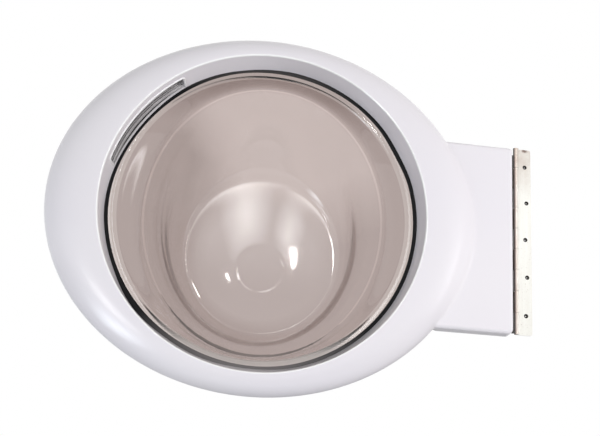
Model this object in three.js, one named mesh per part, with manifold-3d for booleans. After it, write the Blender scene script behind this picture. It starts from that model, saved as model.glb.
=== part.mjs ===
// Porthole door of a front-loading machine: a moulded oval surround with a
// deep glass bowl, and an arm that ends in a steel strip hinge.
//
// Millimetres, +Z up. X runs from the bowl towards the hinge, and +Y from the
// user's side into the cabinet. The origin is on the cabinet's face (Y = 0),
// behind the hinge leaf, at the leaf's mid-height.
// The door's own group has the bowl's axis as its Y axis, and Y = 0 there is
// the plane of the surround's foremost edge, its crest.

import * as THREE from 'three';
import { mergeVertices } from 'three/addons/utils/BufferGeometryUtils.js';
import Module from 'manifold-3d';

const wasm = await Module();
wasm.setup();

// Clearances and overruns
const gap = 0.3;
const overrun = 1;

// Layout
const mouthRadius = 149;
const originToPin = 5;
const cabinetDepth = 32.5;

// Surround: funnel, crest, crowned face and side wall
const shellWall = 2.5;
const funnelDepth = 23.7;
const funnelFlareWidth = 5;
const crestRound = 1.6;
const sideBandWidth = 51.5;
const topBandWidth = 21.6;
const ovalRise = 1.4;
const rimDepth = 19;
const sideTaper = 1.5;
const crownPower = 2.6;
const edgePower = 1.6;
const shellSides = 60;

// Arm of the surround, measured at its front outline
const armFaceDepth = 14.5;
const armTopInset = 5.8;
const armBottomOverhang = 2.3;
const armLength = 42.5;
const armOverlap = 37.5;
const armToPin = 8.8;
const armFlare = 1.8;
const armEdgeRound = 4;
const armTopCorner = 4;
const armBottomCorner = 9;
const armStartCorner = 2;
const cornerSteps = 4;

// Strip hinge
const leafThickness = 1.3;
const pinRadius = 1.4;
const pinPlay = 0.2;
const hingeHalfHeight = 100.3;
const knuckleCount = 9;
const knuckleGap = 0.3;
const cabinetLeafWidth = 16.8;
const cabinetLeafCorner = 3;
const doorLeafWidth = 29;
const doorLeafTopInset = 7.3;
const doorLeafBottomInset = 1.3;
const leafHoleMargin = 20.02;
const leafHoleCount = 5;
const leafHoleRadius = 1.9;
const leafHoleSinkRadius = 2.7;
const leafHoleInset = 11.1;
const leafHoleStagger = 0.8;
const curlEndAngle = 340;
const leafHoleSides = 10;

// Hinge fixing inside the arm
const hingePlateThickness = 3;
const hingePlateWidth = 20;
const hingePlateInset = 12.3;
const hingeScrewFromPin = 19;

// Gasket round the glass flange
const gasketLipWidth = 15.3;
const gasketLipThickness = 1.8;
const gasketShownWidth = 3.7;
const gasketWebThickness = 2.7;
const gasketBackLipWidth = 9.6;
const gasketBackLipThickness = 1.6;

// Glass bowl
const flangeThickness = 5;
const flangeWidth = 16.6;
const bowlDepth = 119;
const bowlLean = 8;
const bowlDrop = 32;
const glassThickness = 5;
const bowlSides = 36;

// Rear cover
const coverThickness = 2.7;
const coverLipWidth = 10.9;
const coverLipThickness = 2.2;
const coverRiserThickness = 2.4;
const coverSkirtHeight = 4.2;
const coverSkirtThickness = 2;

// Screws, their bosses and holes
const screwShankRadius = 1.3;
const screwHeadRadius = 3;
const screwHeadHeight = 1.7;
const coverScrewLength = 13;
const bossRadius = 3.4;
const hingeShankRadius = 1.6;
const hingeHeadRadius = 3.2;
const hingeHeadHeight = 1.2;
const hingeScrewLength = 11;
const hingeBossRadius = 4;
const screwHeadCrown = 0.6;
const screwSides = 8;
const pinSides = 16;
const curveSteps = 5;

// Finger grip
const gripFromAngle = 126.3;
const gripToAngle = 167.6;
const gripFrontDepth = 3.4;
const gripStripWidth = 1.3;
const gripPocketWidth = 21.2;
const gripWall = 2;
const gripSlope = 5;
const gripChamfer = 2;
const gripRibCount = 3;
const gripRibWidth = 1.1;
const gripRibHeight = 2.4;
const gripEarAngle = 3.4;
const gripEarInset = 7;
const gripEarLength = 10;
const gripScrewLength = 9;
const gripBossRadius = 3;
const gripRibOverlapAngle = 0.5;
const gripSteps = 10;
const gripEarSteps = 2;

// Latch in the rear cover
const latchInset = 24.5;
const latchPinDepth = 19;
const latchPinRadius = 2;
const latchPinHalfLength = 17;
const housingHalfWidth = 12;
const housingHalfHeight = 19;
const housingFrontDepth = 11.5;
const housingEarLength = 11;
const housingEarThickness = 3;
const pocketHalfWidth = 7.5;
const pocketLowerHeight = 5;
const pocketUpperHeight = 12;
const pocketFloor = 2.5;
const hookHubRadius = 4.6;
const hookShankHalfWidth = 3.4;
const hookThickness = 8;
const hookReach = 34;
const beakLength = 8;
const beakThickness = 7;
const hookSwingRoom = 5;
const springWireRadius = 0.45;
const springCoilRadius = 3.1;
const springTurns = 4;
const springPitch = 1.35;
const springLegLength = 7;
const springPlay = 1.3;
const springSides = 5;
const springStepsPerTurn = 8;
const latchScrewLength = 5;

// Rubber stops on the back
const bumperRadius = 6;
const bumperHeight = 1.2;
const bumperStemRadius = 2;
const bumperBarbRadius = 3;
const bumperBarbHeight = 1.6;
const bumperCrown = 0.8;
const bumperSides = 12;
const bumperAngles = [133, 227];

// Radii that follow from the bowl's mouth outwards
const flangeRadius = mouthRadius + flangeWidth;
const gasketRadius = flangeRadius + gap + gasketWebThickness;
const gasketLipRadius = gasketRadius - gasketLipWidth;
const gasketBackLipRadius = gasketRadius - gasketBackLipWidth;
const funnelRadius = gasketLipRadius + gasketShownWidth;
const crestRadius = funnelRadius + funnelFlareWidth;
const ovalHalfWidth = crestRadius + sideBandWidth;
const ovalHalfHeight = crestRadius + topBandWidth;
const riserInnerRadius = gasketRadius + gap;
const riserRadius = riserInnerRadius + coverRiserThickness;
const coverLipRadius = riserInnerRadius - coverLipWidth;
const gripMouthRadius = funnelRadius + shellWall + gap;
const gripRadius = gripMouthRadius + gripPocketWidth;

// Places along and up the arm that follow
const armStart = ovalHalfWidth - armOverlap;
const armEnd = ovalHalfWidth + armLength;
const axisToPin = armEnd + armToPin;
const armTopHeight = hingeHalfHeight - armTopInset;
const armBottomHeight = hingeHalfHeight + armBottomOverhang;
const hingePlateHalfHeight = hingeHalfHeight - hingePlateInset;
const leafHolePitch = (2 * (hingeHalfHeight - leafHoleMargin)) / (leafHoleCount - 1);

// Heights and depths that follow
const barrelRadius = pinRadius + pinPlay + leafThickness;
const boreRadius = pinRadius + pinPlay;
const backDepth = cabinetDepth - leafThickness - gap;
const coverFrontDepth = backDepth - coverThickness;
const gasketFrontDepth = funnelDepth + gap;
const flangeFrontDepth = gasketFrontDepth + gasketLipThickness + gap;
const flangeBackDepth = flangeFrontDepth + flangeThickness;
const gasketBackDepth = flangeBackDepth + gap + gasketBackLipThickness;
const gripEdgeDepth = funnelDepth;
const gripTopDepth = crestRound + shellWall + gap;
const latchX = -(ovalHalfWidth - latchInset);

const materials = {
  shell: { color: 0xdcdade, roughness: 0.32, metalness: 0 },
  cover: { color: 0xcfcfd2, roughness: 0.5, metalness: 0 },
  gasket: { color: 0x16161a, roughness: 0.7, metalness: 0 },
  glass: { color: 0xb9aeac, roughness: 0.05, metalness: 0, transparent: true, opacity: 0.4 },
  grip: { color: 0x6f6b6f, roughness: 0.55, metalness: 0 },
  leaf: { color: 0xcfc6bd, roughness: 0.35, metalness: 1 },
  steel: { color: 0x9a9a9c, roughness: 0.4, metalness: 1 },
  latch: { color: 0x3a3a3d, roughness: 0.5, metalness: 0 },
  rubber: { color: 0x242426, roughness: 0.8, metalness: 0 },
};

// Geometry helpers

function radians(degrees) {
  return THREE.MathUtils.degToRad(degrees);
}

// A body from any closed geometry: shared vertices, no empty triangles, faces out
function solidOf(geometry) {
  geometry.deleteAttribute('normal');
  geometry.deleteAttribute('uv');
  const merged = mergeVertices(geometry, gap / 1000);
  const position = merged.attributes.position;
  const source = merged.index.array;
  const triangles = [];
  const a = new THREE.Vector3();
  const b = new THREE.Vector3();
  const c = new THREE.Vector3();
  let volume = 0;
  for (let i = 0; i < source.length; i += 3) {
    const [p, q, r] = [source[i], source[i + 1], source[i + 2]];
    if (p === q || q === r || r === p) continue;
    triangles.push(p, q, r);
    a.fromBufferAttribute(position, p);
    b.fromBufferAttribute(position, q);
    c.fromBufferAttribute(position, r);
    volume += a.dot(b.cross(c));
  }
  if (volume < 0) triangles.reverse();
  const mesh = new wasm.Mesh({
    numProp: 3,
    vertProperties: new Float32Array(position.array),
    triVerts: new Uint32Array(triangles),
  });
  return new wasm.Manifold(mesh);
}

// A named sub-part from a body
function piece(name, body, look) {
  const data = body.getMesh();
  const geometry = new THREE.BufferGeometry();
  geometry.setAttribute('position', new THREE.BufferAttribute(data.vertProperties, 3));
  geometry.setIndex(new THREE.BufferAttribute(data.triVerts, 1));
  const flat = geometry.toNonIndexed();
  flat.computeVertexNormals();
  const mesh = new THREE.Mesh(flat, new THREE.MeshStandardMaterial(materials[look]));
  mesh.name = name;
  return mesh;
}

// A body through rings of points with equal counts: closed on itself, or capped at both ends
function loft(rings, closed) {
  const count = rings[0].length;
  const points = rings.flat();
  const index = [];
  const bands = closed ? rings.length : rings.length - 1;
  for (let band = 0; band < bands; band += 1) {
    const low = band * count;
    const high = ((band + 1) % rings.length) * count;
    for (let i = 0; i < count; i += 1) {
      const j = (i + 1) % count;
      index.push(low + i, low + j, high + j, low + i, high + j, high + i);
    }
  }
  if (!closed) {
    const lastStart = (rings.length - 1) * count;
    for (const [ring, first, turn] of [[rings[0], 0, true], [rings.at(-1), lastStart, false]]) {
      const centre = new THREE.Vector3();
      ring.forEach((point) => centre.addScaledVector(point, 1 / count));
      const hub = points.push(centre) - 1;
      for (let i = 0; i < count; i += 1) {
        const j = (i + 1) % count;
        index.push(hub, first + (turn ? j : i), first + (turn ? i : j));
      }
    }
  }
  const geometry = new THREE.BufferGeometry().setFromPoints(points);
  geometry.setIndex(index);
  return solidOf(geometry);
}

// A ring body turned about the bowl's axis, from its section as [radius, depth] points
function revolve(section, sides) {
  const closedSection = [...section, section[0]];
  const points = closedSection.map(([radius, depth]) => new THREE.Vector2(radius, depth));
  return solidOf(new THREE.LatheGeometry(points, sides));
}

// The same section swept between two angles, which count from +X towards +Z
function sector(section, from, to, steps) {
  const rings = [];
  for (let step = 0; step <= steps; step += 1) {
    const angle = radians(from + ((to - from) * step) / steps);
    rings.push(section.map(([radius, depth]) => (
      new THREE.Vector3(radius * Math.cos(angle), depth, radius * Math.sin(angle))
    )));
  }
  return loft(rings, false);
}

// A round bar or cone along Y between two depths
function bar(x, z, from, to, radius, sides, endRadius = radius) {
  const geometry = new THREE.CylinderGeometry(endRadius, radius, to - from, sides);
  geometry.translate(x, (from + to) / 2, z);
  return solidOf(geometry);
}

function block(xFrom, xTo, yFrom, yTo, zFrom, zTo) {
  const geometry = new THREE.BoxGeometry(xTo - xFrom, yTo - yFrom, zTo - zFrom);
  geometry.translate((xFrom + xTo) / 2, (yFrom + yTo) / 2, (zFrom + zTo) / 2);
  return solidOf(geometry);
}

// A section in X and Y, extruded along Z
function upright(shape, zFrom, zTo, curveSegments) {
  const geometry = new THREE.ExtrudeGeometry(shape, {
    depth: zTo - zFrom,
    bevelEnabled: false,
    curveSegments,
  });
  geometry.translate(0, 0, zFrom);
  return solidOf(geometry);
}

function union(bodies) {
  return bodies.reduce((whole, body) => whole.add(body));
}

function polar(radius, degrees) {
  const angle = radians(degrees);
  return [radius * Math.cos(angle), radius * Math.sin(angle)];
}

function polygon(radius, sides) {
  const corners = [];
  for (let i = 0; i < sides; i += 1) {
    corners.push(new THREE.Vector2(...polar(radius, (360 * i) / sides)));
  }
  return corners;
}

// Surround

// Distance from the bowl's axis to the oval outline, drawn in by an inset
function ovalRadius(degrees, inset) {
  const angle = radians(degrees);
  const a = ovalHalfWidth - inset;
  const b = ovalHalfHeight - inset;
  const across = Math.cos(angle) / a;
  const up = Math.sin(angle) / b;
  const lift = (ovalRise * Math.sin(angle)) / (b * b);
  const square = across * across + up * up;
  return (lift + Math.sqrt(lift * lift + square * (1 - (ovalRise / b) ** 2))) / square;
}

// Depth of the crowned face at a share of the way from the crest to the rim
function crownDepth(share) {
  const rest = 1 - share ** crownPower;
  return rimDepth * (1 - Math.max(rest, 0) ** (1 / edgePower));
}

function faceDepthAt(radius, degrees) {
  const width = ovalRadius(degrees, 0) - crestRadius;
  return crownDepth((radius - crestRadius) / width);
}

function ovalRing(radiusAt, depth) {
  const ring = [];
  for (let i = 0; i < shellSides; i += 1) {
    const degrees = (360 * i) / shellSides;
    const [x, z] = polar(radiusAt(degrees), degrees);
    ring.push(new THREE.Vector3(x, depth, z));
  }
  return ring;
}

const faceShares = [0.25, 0.5, 0.7, 0.83, 0.92, 0.975, 1];
const cavityShares = [0.5, 0.75, 0.92, 1];

function faceRadius(degrees, share, inset) {
  const rim = ovalRadius(degrees, inset);
  return crestRadius + (rim - crestRadius) * share;
}

// The oval with its crest, as a full ring: its front skin closed by a flat back
function ovalBody() {
  const crestFoot = crestRadius - crestRound;
  const [arcX, arcY] = polar(crestRound, 45);
  const rings = [
    ovalRing(() => funnelRadius, backDepth),
    ovalRing(() => funnelRadius, funnelDepth),
    ovalRing(() => crestFoot, crestRound),
    ovalRing(() => crestRadius - arcX, crestRound - arcY),
    ovalRing(() => crestRadius, 0),
  ];
  for (const share of faceShares) {
    rings.push(ovalRing((degrees) => faceRadius(degrees, share, 0), crownDepth(share)));
  }
  rings.push(ovalRing((degrees) => ovalRadius(degrees, sideTaper), backDepth));
  return loft(rings, true);
}

// The space under the oval's skin, open at the back
function ovalCavity() {
  const inner = funnelRadius + shellWall;
  const crestInner = crestRadius - crestRound + shellWall;
  const rings = [
    ovalRing(() => funnelRadius - overrun, backDepth + overrun),
    ovalRing(() => funnelRadius - overrun, funnelDepth),
    ovalRing(() => inner, funnelDepth),
    ovalRing(() => crestInner, crestRound + shellWall),
  ];
  for (const share of cavityShares) {
    const depth = Math.min(crownDepth(share) + shellWall, rimDepth);
    rings.push(ovalRing((degrees) => faceRadius(degrees, share, shellWall), depth));
  }
  rings.push(ovalRing((degrees) => ovalRadius(degrees, sideTaper + shellWall), backDepth + overrun));
  return loft(rings, true);
}

// A rounded rectangle across X and Z at one depth; the corners start at the upper right
function plateRing({ left, right, bottom, top }, rounds, depth) {
  const corners = [[right, top], [left, top], [left, bottom], [right, bottom]];
  const ring = [];
  corners.forEach(([x, z], corner) => {
    const turn = 90 * corner;
    const radius = Math.max(rounds[corner], gap);
    const [towardX, towardZ] = polar(radius * Math.SQRT2, turn + 45);
    for (let step = 0; step <= cornerSteps; step += 1) {
      const [dx, dz] = polar(radius, turn + (90 * step) / cornerSteps);
      ring.push(new THREE.Vector3(x - towardX + dx, depth, z - towardZ + dz));
    }
  });
  return ring;
}

// Outline of the arm at one depth, grown sideways by a given amount
function armRing(grow, depth) {
  const sides = {
    left: armStart,
    right: armEnd + grow,
    bottom: -armBottomHeight - grow,
    top: armTopHeight + grow,
  };
  const rounds = [armTopCorner + grow, armStartCorner, armStartCorner, armBottomCorner + grow];
  return plateRing(sides, rounds, depth);
}

function armBody() {
  const roundShares = [0, 30, 60, 90];
  const rings = roundShares.map((degrees) => {
    const [out, up] = polar(armEdgeRound, degrees);
    return armRing(up - armEdgeRound, armFaceDepth + armEdgeRound - out);
  });
  rings.push(armRing(armFlare, backDepth));
  return loft(rings, false);
}

function armCavity() {
  const rings = [
    armRing(-shellWall - armEdgeRound / 2, armFaceDepth + shellWall),
    armRing(-shellWall, armFaceDepth + armEdgeRound),
    armRing(armFlare - shellWall, backDepth + overrun),
  ];
  return loft(rings, false);
}

// Screw places round the cover, midway between its riser and the side wall
const coverScrewAngles = [35, 65, 100, 150, 205, 245, 285, 322];

function coverScrewPlace(degrees) {
  const outside = ovalRadius(degrees, sideTaper + shellWall);
  return { radius: (riserRadius + outside) / 2, degrees };
}

function leafHoleHeights() {
  const heights = [];
  for (let i = 0; i < leafHoleCount; i += 1) {
    heights.push((i - (leafHoleCount - 1) / 2) * leafHolePitch);
  }
  return heights;
}

const hingeScrewX = axisToPin - hingeScrewFromPin;
const hingePlateBack = coverFrontDepth - gap;
const hingePlateFront = hingePlateBack - hingePlateThickness;

// Grip places
const gripEarDepth = gripEdgeDepth - gripWall;
const gripEarRadius = gripRadius - gripEarInset;
const gripOuterFrom = gripFromAngle - radiansToSpan(gripWall, gripRadius);
const gripOuterTo = gripToAngle + radiansToSpan(gripWall, gripRadius);
const gripScrewAngles = [gripOuterFrom - gripEarAngle / 2, gripOuterTo + gripEarAngle / 2];

function radiansToSpan(length, radius) {
  return THREE.MathUtils.radToDeg(length / radius);
}

// A screw boss from the front skin to a depth; its blind hole starts behind the skin
function boss(x, z, skinDepth, back, radius, holeRadius) {
  const body = bar(x, z, 0, back, radius, screwSides);
  const hole = bar(x, z, skinDepth + shellWall, back + overrun, holeRadius, screwSides);
  return { body, hole };
}

function frontShell() {
  const outside = ovalBody().add(armBody());
  const skin = outside.subtract(ovalCavity().add(armCavity()));
  const bosses = [];
  for (const degrees of coverScrewAngles) {
    const { radius } = coverScrewPlace(degrees);
    const [x, z] = polar(radius, degrees);
    const skinDepth = faceDepthAt(radius + bossRadius, degrees);
    bosses.push(boss(x, z, skinDepth, coverFrontDepth - gap, bossRadius, screwShankRadius + gap));
  }
  for (const degrees of gripScrewAngles) {
    const [x, z] = polar(gripEarRadius, degrees);
    const skinDepth = faceDepthAt(gripEarRadius + gripBossRadius, degrees);
    bosses.push(boss(x, z, skinDepth, gripEarDepth - gap, gripBossRadius, screwShankRadius + gap));
  }
  for (const height of leafHoleHeights()) {
    const place = [hingeScrewX, height, armFaceDepth, hingePlateFront - gap];
    bosses.push(boss(...place, hingeBossRadius, hingeShankRadius + gap));
  }
  const notch = sector([
    [funnelRadius - shellWall, gripFrontDepth],
    [crestRadius + shellWall, gripFrontDepth],
    [crestRadius + shellWall, funnelDepth - gripStripWidth],
    [funnelRadius - shellWall, funnelDepth - gripStripWidth],
  ], gripFromAngle, gripToAngle, gripSteps);
  return skin
    .add(union(bosses.map((each) => each.body)).intersect(outside))
    .subtract(union(bosses.map((each) => each.hole)))
    .subtract(notch);
}

// Gasket and glass

function glassGasket() {
  const web = gasketRadius - gasketWebThickness;
  return revolve([
    [gasketLipRadius, gasketFrontDepth + gasketLipThickness / 2],
    [gasketLipRadius + gasketLipThickness, gasketFrontDepth],
    [gasketRadius, gasketFrontDepth],
    [gasketRadius, gasketBackDepth],
    [gasketBackLipRadius, gasketBackDepth],
    [gasketBackLipRadius, gasketBackDepth - gasketBackLipThickness],
    [web, gasketBackDepth - gasketBackLipThickness],
    [web, gasketFrontDepth + gasketLipThickness],
    [gasketLipRadius, gasketFrontDepth + gasketLipThickness],
  ], shellSides);
}

// Stations of the bowl's inside, as shares of its depth, of the mouth's radius across and up,
// of the lean towards the hinge and of the drop
const bowlShares = [
  [0, 1, 1, 0, 0],
  [0.038, 0.957, 0.983, 0.04, 0],
  [0.183, 0.814, 0.953, 0.28, -0.04],
  [0.353, 0.738, 0.909, 0.28, -0.14],
  [0.504, 0.688, 0.864, 0.25, -0.19],
  [0.571, 0.676, 0.839, 0.3, -0.14],
  [0.773, 0.669, 0.758, 0.63, 0.13],
  [0.899, 0.66, 0.7, 0.88, 0.33],
  [0.958, 0.644, 0.672, 0.98, 0.42],
  [0.987, 0.619, 0.645, 1, 0.46],
  [1, 0.577, 0.597, 1, 0.48],
  [0.997, 0.403, 0.416, 1, 0.63],
  [0.987, 0.215, 0.215, 1, 0.95],
  [0.991, 0.161, 0.161, 1, 1],
];

function bowlRing({ across, up, depth, lean, drop }) {
  const ring = [];
  for (let i = 0; i < bowlSides; i += 1) {
    const [x, z] = polar(1, (360 * i) / bowlSides);
    ring.push(new THREE.Vector3(lean + across * x, flangeFrontDepth + depth, up * z - drop));
  }
  return ring;
}

function glassBowl() {
  const inside = bowlShares.map(([depth, across, up, lean, drop]) => ({
    depth: depth * bowlDepth,
    across: across * mouthRadius,
    up: up * mouthRadius,
    lean: lean * bowlLean,
    drop: drop * bowlDrop,
  }));
  const outside = inside.map((station, i) => {
    const before = inside[Math.max(i - 1, 0)];
    const after = inside[Math.min(i + 1, inside.length - 1)];
    const deeper = after.depth - before.depth;
    const wide = new THREE.Vector2(after.across - before.across, deeper).normalize();
    const tall = new THREE.Vector2(after.up - before.up, deeper).normalize();
    return {
      ...station,
      depth: Math.max(station.depth - (glassThickness * (wide.x + tall.x)) / 2, flangeThickness),
      across: station.across + glassThickness * wide.y,
      up: station.up + glassThickness * tall.y,
    };
  });
  const rim = { across: flangeRadius, up: flangeRadius, lean: 0, drop: 0 };
  return loft([
    ...outside.toReversed().map(bowlRing),
    bowlRing({ ...rim, depth: flangeThickness }),
    bowlRing({ ...rim, depth: 0 }),
    ...inside.map(bowlRing),
  ], false);
}

// Rear cover

function coverOutline(inset) {
  return (degrees) => ovalRadius(degrees, sideTaper + shellWall + gap + inset);
}

function rearCover() {
  const skirtFront = coverFrontDepth - coverSkirtHeight;
  const tray = loft([
    ovalRing(() => riserInnerRadius, coverFrontDepth),
    ovalRing(coverOutline(coverSkirtThickness), coverFrontDepth),
    ovalRing(coverOutline(coverSkirtThickness), skirtFront),
    ovalRing(coverOutline(0), skirtFront),
    ovalRing(coverOutline(0), backDepth),
    ovalRing(() => riserInnerRadius, backDepth),
  ], true);
  const armInset = -shellWall - gap;
  const armPlate = loft([armRing(armInset, coverFrontDepth), armRing(armInset, backDepth)], false);
  const armWindow = loft([
    armRing(armInset - coverSkirtThickness, skirtFront - overrun),
    armRing(armInset - coverSkirtThickness, coverFrontDepth),
  ], false);
  const lipFront = gasketBackDepth + gap;
  const lip = revolve([
    [riserInnerRadius, coverFrontDepth],
    [riserRadius, coverFrontDepth],
    [riserRadius, lipFront + coverLipThickness],
    [coverLipRadius, lipFront + coverLipThickness],
    [coverLipRadius, lipFront],
    [riserInnerRadius, lipFront],
  ], shellSides);
  const holes = coverScrewAngles.map((degrees) => {
    const { radius } = coverScrewPlace(degrees);
    const [x, z] = polar(radius, degrees);
    return sunkHole(x, z, backDepth, screwShankRadius, screwHeadRadius, screwHeadHeight);
  });
  for (const height of leafHoleHeights()) {
    holes.push(bar(hingeScrewX, height, coverFrontDepth - overrun, backDepth + overrun,
      hingeShankRadius + gap, screwSides));
  }
  for (const degrees of bumperAngles) {
    const { radius } = coverScrewPlace(degrees);
    const [x, z] = polar(radius, degrees);
    holes.push(bar(x, z, coverFrontDepth - overrun, backDepth + overrun,
      bumperStemRadius + gap, screwSides));
  }
  for (const degrees of coverScrewAngles) {
    const { radius } = coverScrewPlace(degrees);
    const [x, z] = polar(radius, degrees);
    holes.push(bar(x, z, skirtFront - overrun, coverFrontDepth, bossRadius + gap, screwSides));
  }
  for (const side of [-1, 1]) {
    const z = latchScrewHeight(side);
    holes.push(sunkHole(latchX, z, backDepth, screwShankRadius, screwHeadRadius, screwHeadHeight));
  }
  const window = block(
    latchX - pocketHalfWidth + gap,
    latchX + hookShankHalfWidth + hookSwingRoom,
    coverFrontDepth - overrun,
    backDepth + overrun,
    -pocketLowerHeight,
    pocketLowerHeight,
  );
  return tray.subtract(armWindow).add(armPlate).add(lip).subtract(union([...holes, window]));
}

// A countersunk clearance hole, its wide end flush with the back face
function sunkHole(x, z, back, shank, head, headHeight) {
  const sink = head + gap;
  const cone = bar(x, z, back - headHeight, back, shank + gap, screwSides, sink);
  const mouth = bar(x, z, back - gap / 10, back + overrun, sink, screwSides);
  const drill = bar(x, z, back - 2 * coverThickness - overrun, back, shank + gap, screwSides);
  return union([cone, mouth, drill]);
}

// A countersunk screw, its head flush just under the back face
function screw(x, z, back, shank, head, headHeight, length) {
  const top = back - gap / 3;
  const points = [
    [0, top],
    [head, top],
    [shank, top - headHeight],
    [shank, top - length + shank],
    [0, top - length],
  ].map(([radius, depth]) => new THREE.Vector2(radius, depth));
  const geometry = new THREE.LatheGeometry(points, screwSides);
  geometry.translate(x, 0, z);
  return solidOf(geometry);
}

// Grip cup

function gripSection(inset, reach) {
  const slopePerLength = gripSlope / (gripRadius - gripMouthRadius);
  const front = gripTopDepth + inset;
  const floor = gripRadius - inset;
  const back = gripEdgeDepth - inset;
  const mouth = gripMouthRadius - reach;
  return [
    [mouth, front + slopePerLength * (mouth - gripMouthRadius)],
    [floor - gripChamfer, front + slopePerLength * (floor - gripChamfer - gripMouthRadius)],
    [floor, front + gripSlope + gripChamfer],
    [floor, back - gripChamfer],
    [floor - gripChamfer, back],
    [mouth, back],
  ];
}

function gripCup() {
  const outer = sector(mouthShape(gripSection(0, 0)), gripOuterFrom, gripOuterTo, gripSteps);
  const pocket = sector(gripSection(gripWall, shellWall), gripFromAngle, gripToAngle, gripSteps);
  const ears = [
    [gripOuterFrom - gripEarAngle, gripOuterFrom + gripEarAngle / 4],
    [gripOuterTo - gripEarAngle / 4, gripOuterTo + gripEarAngle],
  ].map(([from, to]) => sector([
    [gripEarRadius - gripEarLength / 2, gripEarDepth],
    [gripEarRadius + gripEarLength / 2, gripEarDepth],
    [gripEarRadius + gripEarLength / 2, gripEdgeDepth],
    [gripEarRadius - gripEarLength / 2, gripEdgeDepth],
  ], from, to, gripEarSteps));
  const holes = gripScrewAngles.map((degrees) => {
    const [x, z] = polar(gripEarRadius, degrees);
    return bar(x, z, gripEarDepth - overrun, gripEdgeDepth + overrun,
      screwShankRadius + gap, screwSides);
  });
  const floorWidth = gripEdgeDepth - gripFrontDepth - gripSlope - 2 * gripWall - 2 * gripChamfer;
  const firstRib = gripFrontDepth + gripSlope + gripWall + gripChamfer;
  const ribs = [];
  for (let i = 0; i < gripRibCount; i += 1) {
    const middle = firstRib + (floorWidth * (2 * i + 1)) / (2 * gripRibCount);
    ribs.push(sector([
      [gripRadius - gripWall - gripRibHeight, middle - gripRibWidth / 2],
      [gripRadius - gripWall / 2, middle - gripRibWidth / 2],
      [gripRadius - gripWall / 2, middle + gripRibWidth / 2],
      [gripRadius - gripWall - gripRibHeight, middle + gripRibWidth / 2],
    ], gripFromAngle - gripRibOverlapAngle, gripToAngle + gripRibOverlapAngle, gripSteps));
  }
  return outer.subtract(pocket).add(union([...ears, ...ribs])).subtract(union(holes));
}

// The mouth's front edge follows the lean of the funnel wall's outer side
function mouthShape(section) {
  const lean = (crestRadius - crestRound - funnelRadius) / (funnelDepth - crestRound - shellWall);
  const [first, ...rest] = section;
  const [, depth] = first;
  return [[gripMouthRadius + lean * (gripEdgeDepth - depth), depth], ...rest];
}

function gripScrew(degrees) {
  const [x, z] = polar(gripEarRadius, degrees);
  const head = gripEdgeDepth + gap;
  const points = [
    [0, head + screwHeadHeight],
    [screwHeadRadius * screwHeadCrown, head + screwHeadHeight],
    [screwHeadRadius, head + screwHeadHeight / 2],
    [screwHeadRadius, head],
    [screwShankRadius, head],
    [screwShankRadius, head - gripScrewLength],
    [0, head - gripScrewLength - screwShankRadius],
  ].map(([radius, depth]) => new THREE.Vector2(radius, depth));
  const geometry = new THREE.LatheGeometry(points, screwSides);
  geometry.translate(x, 0, z);
  return solidOf(geometry);
}

// Latch

function latchHousing() {
  const back = coverFrontDepth - gap;
  const body = block(latchX - housingHalfWidth, latchX + housingHalfWidth,
    housingFrontDepth, back, -housingHalfHeight, housingHalfHeight);
  const earZ = housingHalfHeight + housingEarLength;
  const ears = block(latchX - housingHalfWidth / 2, latchX + housingHalfWidth / 2,
    back - housingEarThickness, back, -earZ, earZ);
  const pocket = block(latchX - pocketHalfWidth, latchX + pocketHalfWidth,
    housingFrontDepth + pocketFloor, back + overrun, -pocketLowerHeight, pocketUpperHeight);
  const stop = block(latchX - pocketHalfWidth - overrun, latchX - hookShankHalfWidth - gap,
    back - housingEarThickness, back, -pocketLowerHeight - overrun, pocketUpperHeight + overrun);
  const pinHole = new THREE.CylinderGeometry(latchPinRadius + pinPlay, latchPinRadius + pinPlay,
    2 * housingHalfHeight + overrun, pinSides);
  pinHole.rotateX(Math.PI / 2);
  pinHole.translate(latchX, latchPinDepth, 0);
  const screwHoles = [-1, 1].map((side) => {
    const z = latchScrewHeight(side);
    return bar(latchX, z, back - housingEarThickness - overrun, back + overrun,
      screwShankRadius + gap, screwSides);
  });
  return body.add(ears).subtract(pocket).add(stop)
    .subtract(union([solidOf(pinHole), ...screwHoles]));
}

// Side view of the hook: hub, shank and a beak that points away from the bowl
function latchHook() {
  const tip = latchPinDepth + hookReach;
  const shape = new THREE.Shape();
  const lower = Math.asin(hookShankHalfWidth / hookHubRadius);
  const right = latchX + hookShankHalfWidth;
  const left = latchX - hookShankHalfWidth;
  shape.absarc(latchX, latchPinDepth, hookHubRadius, Math.PI / 2 - lower, Math.PI / 2 + lower, true);
  shape.lineTo(left, tip - beakThickness);
  shape.lineTo(left - beakLength, tip - beakThickness);
  shape.lineTo(left - beakLength, tip - beakThickness / 2);
  shape.lineTo(left, tip);
  shape.lineTo(right - overrun, tip);
  shape.lineTo(right, tip - beakThickness / 2);
  const bore = new THREE.Path();
  bore.absarc(latchX, latchPinDepth, latchPinRadius + pinPlay, 0, 2 * Math.PI, false);
  shape.holes.push(bore);
  return upright(shape, -hookThickness / 2, hookThickness / 2, curveSteps);
}

function latchPin() {
  const geometry = new THREE.CylinderGeometry(latchPinRadius, latchPinRadius,
    2 * latchPinHalfLength, pinSides);
  geometry.rotateX(Math.PI / 2);
  geometry.translate(latchX, latchPinDepth, 0);
  return solidOf(geometry);
}

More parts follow.
